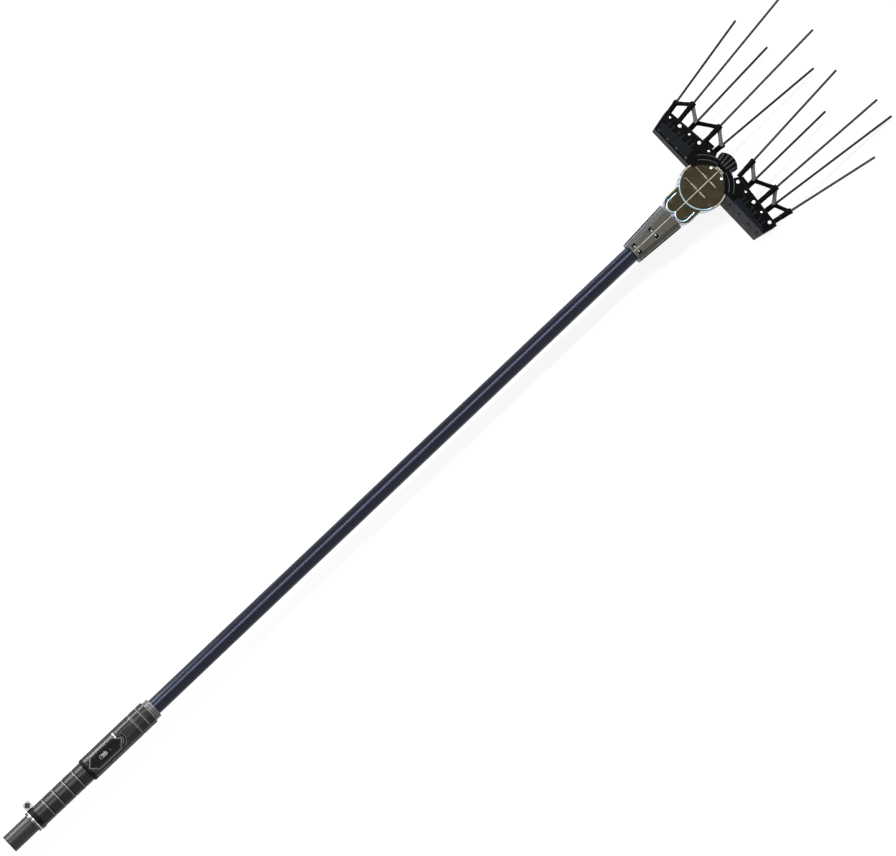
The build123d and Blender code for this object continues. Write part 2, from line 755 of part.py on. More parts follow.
def eccentric_rollers():
    rollers = []
    for index in range(len(FORK_BACK)):
        rear, front = fork_span(index)
        ring = cyl_x(rear, front, ROLLER_R, z=eccentric_z(index))
        rollers.append(ring - cyl_x(rear, front, ECCENTRIC_R, z=eccentric_z(index)))
    return rollers


def crank_bearing():
    rear, front = -BEARING_REAR, -BEARING_REAR + BEARING_LENGTH
    return cyl_x(rear, front, BEARING_R) - cyl_x(rear, front, CRANK_R + RUNNING_GAP)


# Gearbox


def drum_top():
    """Top face of the base, which the cover closes."""
    return DRUM_HALF_HEIGHT - DRUM_PLATE


def knuckle_outline(grow=0.0):
    """Two round lobes and the straight flanks that join them to the drum."""
    outline = Pos(-LOBE_BACK / 2, 0) * Rectangle(LOBE_BACK, 2 * (LOBE_OFFSET + LOBE_R + grow))
    for side in (1, -1):
        outline += Pos(-LOBE_BACK, side * LOBE_OFFSET) * Circle(LOBE_R + grow)
    return outline


def hub_plate_levels():
    return drum_top() - MOVING_GAP - HUB_PLATE, drum_top() - MOVING_GAP


def arm_window():
    """Way out of the drum for the left hub's arm, with room for its swing."""
    low, high = hub_plate_levels()
    slack = math.degrees(SWING) + 2
    width = ARM_WIDTH + 2 * DRUM_R * math.radians(slack)
    bar = Pos(ARM_SPAN / 2, 0) * Rectangle(ARM_SPAN, width)
    return plate(Rot(0, 0, ARM_ANGLE) * bar, low - MOVING_GAP, high + MOVING_GAP)


def pillar_places():
    return [polar(DRUM_R - DRUM_WALL - PILLAR_SET_IN, angle) for angle in PILLAR_ANGLES]


def lobe_screw_places():
    middle = -BEARING_REAR + BEARING_LENGTH / 2
    return [(middle, side * (BEARING_R + LOBE_OFFSET / 2)) for side in (1, -1)]


def gearbox_base():
    top, bottom = drum_top(), -DRUM_HALF_HEIGHT
    floor = -drum_top()
    body = plate(Circle(DRUM_R) + knuckle_outline(), bottom, top)
    body -= cyl_z(floor, top, DRUM_R - DRUM_WALL)
    inner_half = LOBE_OFFSET + LOBE_R - KNUCKLE_WALL
    body -= block(-BEARING_REAR + BEARING_LENGTH, 0, -inner_half, inner_half, floor, top)
    for x, y in pillar_places():
        body += cyl_z(floor, top, PILLAR_R, x, y)
    window = arm_window()
    body -= window
    body -= FLIP * window
    wall = -NECK_FRONT - SPIGOT_WALL
    body += cyl_x(wall, -BEARING_REAR, SPIGOT_CORE_R)
    body += cyl_x(-MOTOR_FRONT, -NECK_FRONT, spigot_r())
    body -= cyl_x(-MOTOR_FRONT, wall, RING_GEAR_R + SEAT_GAP)
    body -= cyl_x(wall, -BEARING_REAR, CRANK_R + MOVING_GAP)
    body -= cyl_x(-BEARING_REAR, -BEARING_REAR + BEARING_LENGTH, BEARING_R + SEAT_GAP)
    body -= cyl_z(floor - PIVOT_SEAT, floor, PIVOT_R + SEAT_GAP)
    for x, y in pillar_places() + lobe_screw_places():
        body -= cyl_z(top - COVER_SCREW_DEPTH, top, COVER_SCREW_R + SEAT_GAP, x, y)
    return body


def gearbox_cover():
    """Round cover with plain ribs on its face and two raised lobes over the knuckle."""
    top = DRUM_HALF_HEIGHT
    under = drum_top()
    body = plate(Circle(DRUM_R) + knuckle_outline(), under, top - RIM_HEIGHT)
    body += plate(Circle(COVER_R), under, top)
    body += plate(knuckle_outline() - Circle(DRUM_R + SEAT_GAP), under, LOBE_TOP)
    body += block(-RIB_REACH, RIB_REACH, -RIB_WIDTH / 2, RIB_WIDTH / 2, top, top + RIB_HEIGHT)
    for x in CROSS_RIB_AT:
        flanks = x - RIB_WIDTH / 2, x + RIB_WIDTH / 2
        body += block(*flanks, -CROSS_RIB_HALF, CROSS_RIB_HALF, top, top + RIB_HEIGHT)
        for side in (1, -1):
            body += cyl_z(top, top + RIB_HEIGHT, BOSS_R, x, side * BOSS_OFFSET)
    body -= cyl_z(under, under + PIVOT_SEAT, PIVOT_R + SEAT_GAP)
    for x, y in pillar_places() + lobe_screw_places():
        body -= cyl_z(under, LOBE_TOP, COVER_SCREW_R + SEAT_GAP, x, y)
    return body


def cover_rim():
    """Bright ring in the step round the cover."""
    ring = Circle(DRUM_R) - Circle(COVER_R + SEAT_GAP)
    return plate(ring, DRUM_HALF_HEIGHT - RIM_HEIGHT, DRUM_HALF_HEIGHT)


def lobe_trim():
    """Bright strip round the outside of the two lobes."""
    strip = knuckle_outline(TRIM_WIDTH) - knuckle_outline(SEAT_GAP)
    strip -= Circle(DRUM_R + TRIM_WIDTH)
    strip -= Rectangle(DRUM_R, 2 * DRUM_R)
    return plate(strip, LOBE_TOP - TRIM_DEPTH, LOBE_TOP + TRIM_RISE)


def cover_screw(x, y, seat):
    screw = cyl_z(drum_top() - COVER_SCREW_DEPTH, seat, COVER_SCREW_R, x, y)
    return screw + cyl_z(seat, seat + COVER_SCREW_HEAD_HEIGHT, COVER_SCREW_HEAD_R, x, y)


def cover_screws():
    solids = [cover_screw(x, y, DRUM_HALF_HEIGHT) for x, y in pillar_places()]
    return solids + [cover_screw(x, y, LOBE_TOP) for x, y in lobe_screw_places()]


def pivot_shaft():
    reach = drum_top() + PIVOT_SEAT
    return cyl_z(-reach, reach, PIVOT_R)


def nose_guard():
    """Ribbed nose on the drum's front, between the two combs."""
    hug = Circle(DRUM_R + SEAT_GAP)
    band = sector(NOSE_BAND_R, NOSE_BAND_HALF_ANGLE) - hug
    at_tip = Pos(NOSE_R - NOSE_TIP_R, 0)
    fan = (sector(NOSE_R, NOSE_HALF_ANGLE) & at_tip * Circle(NOSE_TIP_R)) - hug
    body = plate(band, -NOSE_HALF_HEIGHT, NOSE_HALF_HEIGHT)
    body += plate(fan, -NOSE_HALF_HEIGHT, NOSE_HALF_HEIGHT)
    reach = NOSE_HALF_HEIGHT + NOSE_FIN_HEIGHT
    dome = plate(at_tip * Circle(NOSE_TIP_R - NOSE_FIN_INSET), -reach, reach)
    step = 2 * NOSE_HALF_ANGLE / NOSE_FINS
    for index in range(NOSE_FINS):
        angle = -NOSE_HALF_ANGLE + step * (index + 0.5)
        middle = (NOSE_BAND_R + NOSE_R) / 2
        fin = Rot(0, 0, angle) * Pos(middle, 0) * Rectangle(NOSE_R - NOSE_BAND_R, NOSE_FIN_WIDTH)
        body += plate(fin, -reach, reach) & dome
    return body


# Combs, drawn as the left one


def front_x(y):
    """Front edge of the comb at a distance from the pole."""
    outer_x, outer_y = COMB_OUTER_FRONT
    inner_x, inner_y = COMB_INNER_FRONT
    return inner_x + (outer_x - inner_x) * (y - inner_y) / (outer_y - inner_y)


def inner_corner():
    """Where the comb's front edge meets its radial inner end."""
    slope = math.tan(math.radians(COMB_INNER_ANGLE))
    lean = front_x(1) - front_x(0)
    x = front_x(0) / (1 - lean * slope)
    return x, x * slope


def comb_outline(hug_r):
    start = polar(hug_r / 2, COMB_INNER_ANGLE)
    rear = (COMB_REAR, COMB_OUTER_REAR_Y), (COMB_REAR, start[1])
    outline = Polygon(COMB_OUTER_FRONT, *rear, start, inner_corner(), align=None)
    return outline - Circle(hug_r)


def lip_bottom():
    return DRUM_HALF_HEIGHT + MOVING_GAP


def lip_horn():
    """Part of the lip that reaches from the comb's inner end over the root of the nose."""
    inner_r, outer_r = HORN_R
    fan = sector(outer_r, COMB_INNER_ANGLE + HORN_OVERLAP) - sector(2 * outer_r, HORN_END_ANGLE)
    left_side = Rectangle(2 * outer_r, outer_r, align=(Align.CENTER, Align.MIN))
    return (fan & left_side) - Circle(inner_r)


def front_frame():
    """Plane on the comb's front face: its own x runs outwards along the face, its own z points forwards."""
    outer = Vector(*COMB_OUTER_FRONT, 0)
    inner = Vector(*inner_corner(), 0)
    return Plane(origin=inner, x_dir=outer - inner, z_dir=(outer - inner).cross(Vector(0, 0, 1)))


def front_length():
    return (Vector(*COMB_OUTER_FRONT, 0) - Vector(*inner_corner(), 0)).length


def front_slab(depth0, depth1, half_height):
    """Slab along the front face, between two distances in front of it."""
    length = front_length() - 2 * RAIL_END_INSET
    middle = (depth0 + depth1) / 2
    slab = Box(length, 2 * half_height, depth1 - depth0)
    return front_frame() * Pos(front_length() / 2, 0, middle) * slab


def comb_bolt_places():
    places = []
    for index in range(len(LEFT_RODS)):
        y = COMB_BOLT_FIRST_Y - COMB_BOLT_PITCH * index
        places.append((front_x(y) - COMB_BOLT_BACK, y, -1 if index % 2 == 0 else 1))
    return places


def shell_screw_places():
    return [(COMB_REAR + SHELL_SCREW_IN, y) for y in SHELL_SCREW_Y]


def arm_outline(grow=0.0):
    bar = Pos(ARM_SPAN / 2, 0) * Rectangle(ARM_SPAN, ARM_WIDTH + 2 * grow)
    bay_low, bay_high = ARM_BAY_X
    start_y = polar(ARM_SPAN, ARM_ANGLE)[1] - ARM_WIDTH / 2
    bay = Pos((bay_low + bay_high) / 2, (start_y + ARM_BAY_END_Y) / 2) * Rectangle(
        bay_high - bay_low + 2 * grow, ARM_BAY_END_Y - start_y + 2 * grow)
    return Rot(0, 0, ARM_ANGLE) * bar + bay


def shell_screw_reach():
    """Depth of a shell screw's tip, inside the bevelled rear of the base."""
    return COMB_HALF_THICKNESS - COMB_BEVEL + SHELL_SCREW_IN / 2


def arm_boss_places():
    return [(sum(ARM_BAY_X) / 2, y) for y in ARM_BOSS_Y]


def rear_edge(body):
    """Upper rear edge of a comb shell or of its hollow."""
    return body.edges().group_by(Axis.Z)[-1].sort_by(Axis.X)[0]


def comb_half(bevel):
    """One shell of a comb, drawn as the upper half, before its holes are made."""
    top = COMB_HALF_THICKNESS
    hug_r = DRUM_R + COMB_DRUM_GAP
    body = plate(comb_outline(hug_r), 0, top)
    body = chamfer(rear_edge(body), bevel)
    lip = comb_outline(LIP_R) & Circle(hug_r + COMB_WALL) & front_side(bevel)
    body += plate(lip, lip_bottom(), top)
    body += plate(lip_horn(), lip_bottom(), top)
    hollow = plate(offset(comb_outline(hug_r), -COMB_WALL), 0, top - COMB_WALL)
    if bevel > COMB_WALL:
        hollow = chamfer(rear_edge(hollow), bevel - COMB_WALL / 2)
    return body - hollow


def front_side(bevel):
    """The half of the plan that lies in front of a bevelled rear edge."""
    reach = 2 * COMB_OUTER_REAR_Y
    return Pos(COMB_REAR + bevel, 0) * Rectangle(reach, reach, align=(Align.MIN, Align.CENTER))


def comb_cover():
    low, high = hub_plate_levels()
    body = comb_half(COMB_EDGE)
    body -= plate(arm_outline(SEAT_GAP), low - SEAT_GAP, high)
    for x, y in arm_boss_places():
        body += cyl_z(high, COMB_HALF_THICKNESS - COMB_WALL, ARM_BOSS_R, x, y)
        body += cyl_z(low, high, ARM_PIN_R, x, y)
    return drill_comb(body)


def comb_base():
    return drill_comb(mirror(comb_half(COMB_BEVEL), Plane.XY))


def drill_comb(body):
    body -= front_slab(-TONGUE_DEPTH, 0, TONGUE_HALF_HEIGHT + SEAT_GAP)
    reach = COMB_HALF_THICKNESS
    for x, y, _ in comb_bolt_places():
        body -= cyl_z(-reach, reach, COMB_BOLT_R + SEAT_GAP, x, y)
    for x, y in shell_screw_places():
        body -= cyl_z(-reach, reach, SHELL_SCREW_R + SEAT_GAP, x, y)
    return body


def comb_fasteners():
    reach = COMB_HALF_THICKNESS
    solids = []
    for x, y, side in comb_bolt_places():
        bolt = cyl_z(-reach, reach, COMB_BOLT_R, x, y)
        low, high = sorted((side * reach, side * (reach + COMB_BOLT_HEAD_HEIGHT)))
        solids.append(bolt + cyl_z(low, high, COMB_BOLT_HEAD_R, x, y))
    for x, y in shell_screw_places():
        screw = cyl_z(-shell_screw_reach(), reach, SHELL_SCREW_R, x, y)
        solids.append(screw + cyl_z(reach, reach + SHELL_SCREW_HEAD_HEIGHT, SHELL_SCREW_HEAD_R, x, y))
    return solids


def hub_lever(index):
    """Lever on the pivot: an arm out to its comb and a fork back round its eccentric."""
    low, high = hub_plate_levels()
    rear, front = fork_span(index)
    gap = ROLLER_R + 2 * eccentric_throw(index) + MOVING_GAP
    body = cyl_z(HUB_SPLIT, high, HUB_EYE_R)
    body += plate(arm_outline(), low, high)
    body += block(rear, 0, -ARM_TAIL_HALF, ARM_TAIL_HALF, low, high)
    body += block(rear, front, -gap - TINE_THICKNESS, gap + TINE_THICKNESS, low, high)
    for side in (1, -1):
        inner, outer = sorted((side * gap, side * (gap + TINE_THICKNESS)))
        body += block(rear, front, inner, outer, -TINE_OVERLAP, low)
    for x, y in arm_boss_places():
        body -= cyl_z(low, high, ARM_PIN_R + SEAT_GAP, x, y)
    return body - cyl_z(HUB_SPLIT, high, HUB_BUSH_R + SEAT_GAP)


def hub_bush():
    high = hub_plate_levels()[1]
    return cyl_z(HUB_SPLIT, high, HUB_BUSH_R) - cyl_z(HUB_SPLIT, high, PIVOT_R + RUNNING_GAP)


def rod_line(index, rods):
    """Mouth of a socket and the way its rod points; odd rods lie in the lower row."""
    x, y, yaw, _ = rods[index]
    row = -1 if index % 2 == 0 else 1
    pitch = math.radians(ROW_PITCH)
    turn = math.radians(yaw)
    way = Vector(math.cos(pitch) * math.cos(turn), math.cos(pitch) * math.sin(turn), row * math.sin(pitch))
    return Vector(x, y, row * ROW_HEIGHT), way


def bar_between(start, way, length, radius):
    return Plane(origin=start, z_dir=way) * Cylinder(radius, length, align=BASE)


def socket_length(index, rods):
    """Distance back along a rod from its socket's mouth to the middle of the rail."""
    mouth, way = rod_line(index, rods)
    frame = front_frame()
    start = frame.origin + frame.z_dir * (RAIL_THICKNESS / 2)
    return (mouth - start).dot(frame.z_dir) / way.dot(frame.z_dir)


def web_bar(index, rods):
    """Flat bar of the zigzag, from one socket to the next."""
    ends = []
    for end in (index, index + 1):
        mouth, way = rod_line(end, rods)
        ends.append(mouth - way * WEB_BACK)
    span = ends[1] - ends[0]
    middle = (ends[0] + ends[1]) * 0.5
    side = span.cross(Vector(1, 0, 0))
    return Plane(origin=middle, x_dir=span, z_dir=side) * Box(span.length, WEB_HEIGHT, WEB_THICKNESS)


def finger_frame(rods):
    body = front_slab(0, RAIL_THICKNESS, RAIL_HALF_HEIGHT)
    body += front_slab(-TONGUE_DEPTH + SEAT_GAP, 0, TONGUE_HALF_HEIGHT)
    root = Box(ROOT_LENGTH, 2 * ROOT_HALF_HEIGHT, ROOT_THICKNESS)
    body += front_frame() * Pos(RAIL_END_INSET + ROOT_LENGTH / 2, 0, ROOT_THICKNESS / 2) * root
    for index in range(len(rods)):
        mouth, way = rod_line(index, rods)
        length = socket_length(index, rods)
        body += bar_between(mouth - way * length, way, length, SOCKET_R)
    for index in range(len(rods) - 1):
        body += web_bar(index, rods)
    for index in range(len(rods)):
        mouth, way = rod_line(index, rods)
        body -= bar_between(mouth - way * SOCKET_DEPTH, way, SOCKET_DEPTH, ROD_R + ROD_GAP)
    for x, y, _ in comb_bolt_places():
        body -= cyl_z(-TONGUE_HALF_HEIGHT, TONGUE_HALF_HEIGHT, COMB_BOLT_R + SEAT_GAP, x, y)
    return body


def rod(index, rods):
    mouth, way = rod_line(index, rods)
    length = SOCKET_DEPTH + rods[index][3]
    bar = bar_between(mouth - way * SOCKET_DEPTH, way, length, ROD_R)
    return fillet(bar.edges().sort_by(Axis.X)[-1:], ROD_R * 0.9)


# Assembly


def comb_nodes(side, rods, index, turn):
    nodes = {
        f"{side}_hub_lever": hub_lever(index),
        f"{side}_hub_bush": hub_bush(),
        f"{side}_comb_cover": comb_cover(),
        f"{side}_comb_base": comb_base(),
        f"{side}_finger_frame": finger_frame(rods),
        f"{side}_comb_fasteners": comb_fasteners(),
    }
    for number in range(len(rods)):
        nodes[f"{side}_rod_{number + 1}"] = rod(number, rods)
    return {name: placed(shape, TO_HEAD * turn) for name, shape in nodes.items()}


def placed(shape, place):
    if isinstance(shape, list):
        return [place * solid for solid in shape]
    return place * shape


def handle_nodes():
    return {
        "tail_cap": tail_cap(),
        "inlet_socket": inlet_socket(),
        "power_lead": power_lead(),
        "clamp_band": clamp_band(),
        "clamp_fasteners": clamp_fasteners(),
        "grip_sleeve": grip_sleeve(),
        "switch_housing_upper": housing_upper(),
        "switch_housing_lower": housing_lower(),
        "switch_bezel": switch_bezel(),
        "thumb_slider": thumb_slider(),
        "circuit_board": circuit_board(),
        "slide_switch": slide_switch(),
        "indicator_lenses": indicator_lenses(),
        "housing_screws": housing_screws(),
        "front_ferrule": front_ferrule(),
        "pole_tube": pole_tube(),
    }


def head_nodes():
    nodes = {
        "neck_shell_left": neck_shell(1),
        "neck_shell_right": neck_shell(-1),
        "neck_fasteners": neck_fasteners(),
        "motor_can": motor_can(),
        "motor_end_cap": motor_end_cap(),
        "motor_magnets": motor_magnets(),
        "motor_rotor": motor_rotor(),
        "ring_gear": ring_gear(),
        "crank_shaft": crank_shaft(),
        "eccentric_rollers": eccentric_rollers(),
        "crank_bearing": crank_bearing(),
        "gearbox_base": gearbox_base(),
        "gearbox_cover": gearbox_cover(),
        "cover_rim": cover_rim(),
        "lobe_trim": lobe_trim(),
        "cover_screws": cover_screws(),
        "pivot_shaft": pivot_shaft(),
        "nose_guard": nose_guard(),
    }
    for index in range(PLANETS):
        nodes[f"planet_gear_{index + 1}"] = planet_gear(index)
    return {name: placed(shape, TO_HEAD) for name, shape in nodes.items()}


def main():
    os.makedirs("parts", exist_ok=True)
    nodes = handle_nodes()
    nodes.update(head_nodes())
    nodes.update(comb_nodes("left", LEFT_RODS, 0, Location()))
    nodes.update(comb_nodes("right", RIGHT_RODS, 1, FLIP))
    for name, shape in nodes.items():
        shapes = shape if isinstance(shape, list) else [shape]
        solids = [solid for each in shapes for solid in each.solids()]
        export_step(Compound(children=solids), f"parts/{name}.step")
    print(len(nodes), "nodes, gearbox axis at x =", HEAD_X)


main()
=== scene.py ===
"""Looks of an electric olive harvester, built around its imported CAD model.

Metres in the scene, millimetres while a piece is modelled. +X runs along the pole from the tail to
the comb tips, +Y is the left comb's side and +Z points out of the round gearbox cover.
"""
from math import asin, atan2, cos, degrees, hypot, pi, radians, sin, sqrt

import bmesh
import bpy
from mathutils import Matrix, Vector


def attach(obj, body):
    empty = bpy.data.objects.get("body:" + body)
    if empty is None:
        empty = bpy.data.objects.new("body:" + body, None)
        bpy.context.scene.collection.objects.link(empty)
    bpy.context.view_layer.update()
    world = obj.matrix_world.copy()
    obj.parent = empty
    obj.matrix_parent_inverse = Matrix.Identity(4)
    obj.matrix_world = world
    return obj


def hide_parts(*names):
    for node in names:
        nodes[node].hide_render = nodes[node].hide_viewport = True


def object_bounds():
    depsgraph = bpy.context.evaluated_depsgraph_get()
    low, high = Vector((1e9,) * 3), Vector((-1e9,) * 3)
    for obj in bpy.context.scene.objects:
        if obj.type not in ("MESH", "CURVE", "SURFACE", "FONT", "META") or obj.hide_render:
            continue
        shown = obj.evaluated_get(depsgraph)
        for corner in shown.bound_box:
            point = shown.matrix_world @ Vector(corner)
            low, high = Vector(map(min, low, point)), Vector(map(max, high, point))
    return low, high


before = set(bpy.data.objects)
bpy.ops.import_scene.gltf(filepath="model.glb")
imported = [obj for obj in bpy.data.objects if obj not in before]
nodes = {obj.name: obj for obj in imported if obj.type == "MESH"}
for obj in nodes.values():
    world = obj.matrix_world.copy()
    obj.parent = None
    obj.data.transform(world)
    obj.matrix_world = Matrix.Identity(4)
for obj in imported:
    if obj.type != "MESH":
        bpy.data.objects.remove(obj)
cad_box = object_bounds()

MM = 0.001
HEAD_X = 1881.6            # the gearbox axis, from the tail
SINK = 0.2                 # how far a raised detail reaches into the surface under it
ROUND = 24                 # corners of the circles that screws and sleeves are made of
WELD = 0.002               # CAD vertices closer than this become one
FLAT_BELOW = 1             # degrees between faces that become one
SMOOTH_BELOW = 38          # degrees between faces that are shaded as one
FINE_ROUND = 0.25          # rounding of a small raised detail
THIN_ROUND = 0.2           # rounding of a thinner one
RUB_START, RUB_FULL = 0.99, 0.93        # cosine between flat and rounded normal at first and at full wear
CLOUD_LOW, CLOUD_HIGH = 0.3, 0.7        # cloud values between which the roughness changes
PATCH_LOW, PATCH_HIGH = 0.35, 0.6       # cloud values between which wear goes from its least to full
PATCH_LEAST = 0.6


def linear(hex_colour):
    """The linear RGBA that a shader socket takes, from an sRGB hex value."""
    channels = [int(hex_colour[i:i + 2], 16) / 255 for i in (1, 3, 5)]
    return [c / 12.92 if c <= 0.04045 else ((c + 0.055) / 1.055) ** 2.4 for c in channels] + [1]


def per_mm(size):
    """A texture's scale, for features of this size in millimetres."""
    return 1 / (size * MM)


def add(tree, kind, inputs=None, **settings):
    """One shader node with its settings; an input is a value or another node's output."""
    made = tree.nodes.new("ShaderNode" + kind)
    for key, value in settings.items():
        setattr(made, key, value)
    for key, value in (inputs or {}).items():
        if isinstance(value, bpy.types.NodeSocket):
            tree.links.new(value, made.inputs[key])
        else:
            made.inputs[key].default_value = value
    return made


def finish(name, dark, light, roughness, metallic=0.0, mottle=9.0, grain=1.5, depth=0.05, worn=None,
           edge=1.0, gloss=0.5, coat=0.0, spread=0.12, drawn=1.0, tint="#ffffff"):
    """A solid finish: cloudy colour between dark and light, a fine bump and paler worn edges.

    mottle, grain, depth and edge are millimetres: cloud size, bump size, bump height and worn width.
    drawn stretches the cloud and the bump along the pole, as in drawn or pultruded stock. The roughness
    varies with the cloud by spread. gloss is the strength of the highlight on a finish that isn't metal,
    tint is its colour, and coat is the share of a clear coat.
    """
    made = bpy.data.materials.new(name)
    made.use_nodes = True
    tree = made.node_tree
    shader = tree.nodes["Principled BSDF"]
    place = add(tree, "TexCoord").outputs["Object"]
    along_pole = add(tree, "Mapping", {"Vector": place, "Scale": (1 / drawn, 1, 1)}).outputs["Vector"]
    cloud = add(tree, "TexNoise", {"Vector": along_pole, "Scale": per_mm(mottle), "Detail": 4.0})
    speck = add(tree, "TexNoise", {"Vector": along_pole, "Scale": per_mm(grain), "Detail": 2.0})
    colour = add(tree, "MixRGB", {"Fac": cloud.outputs["Fac"], "Color1": linear(dark),
                                  "Color2": linear(light)}).outputs["Color"]
    if worn:
        soft = add(tree, "Bevel", {"Radius": edge * MM}, samples=6)
        face = add(tree, "NewGeometry")
        turn = add(tree, "VectorMath", {0: soft.outputs["Normal"], 1: face.outputs["Normal"]},
                   operation="DOT_PRODUCT")
        rubbed = add(tree, "MapRange", {"Value": turn.outputs["Value"], "From Min": RUB_START,
                                        "From Max": RUB_FULL, "To Max": 1.0})
        patchy = add(tree, "MapRange", {"Value": cloud.outputs["Fac"], "From Min": PATCH_LOW,
                                        "From Max": PATCH_HIGH, "To Min": PATCH_LEAST, "To Max": 1.0})
        broken = add(tree, "Math", {0: rubbed.outputs["Result"], 1: patchy.outputs["Result"]},
                     operation="MULTIPLY")
        colour = add(tree, "MixRGB", {"Fac": broken.outputs["Value"], "Color1": colour,
                                      "Color2": linear(worn)}).outputs["Color"]
    rough = add(tree, "MapRange", {"Value": cloud.outputs["Fac"], "From Min": CLOUD_LOW,
                                   "From Max": CLOUD_HIGH, "To Min": roughness - spread / 2,
                                   "To Max": roughness + spread / 2})
    bump = add(tree, "Bump", {"Height": speck.outputs["Fac"], "Distance": depth * MM, "Strength": 1.0})
    tree.links.new(colour, shader.inputs["Base Color"])
    tree.links.new(rough.outputs["Result"], shader.inputs["Roughness"])
    tree.links.new(bump.outputs["Normal"], shader.inputs["Normal"])
    shader.inputs["Metallic"].default_value = metallic
    if metallic < 0.5:
        shader.inputs["Specular IOR Level"].default_value = gloss
        shader.inputs["Specular Tint"].default_value = linear(tint)
    shader.inputs["Coat Weight"].default_value = coat
    return made


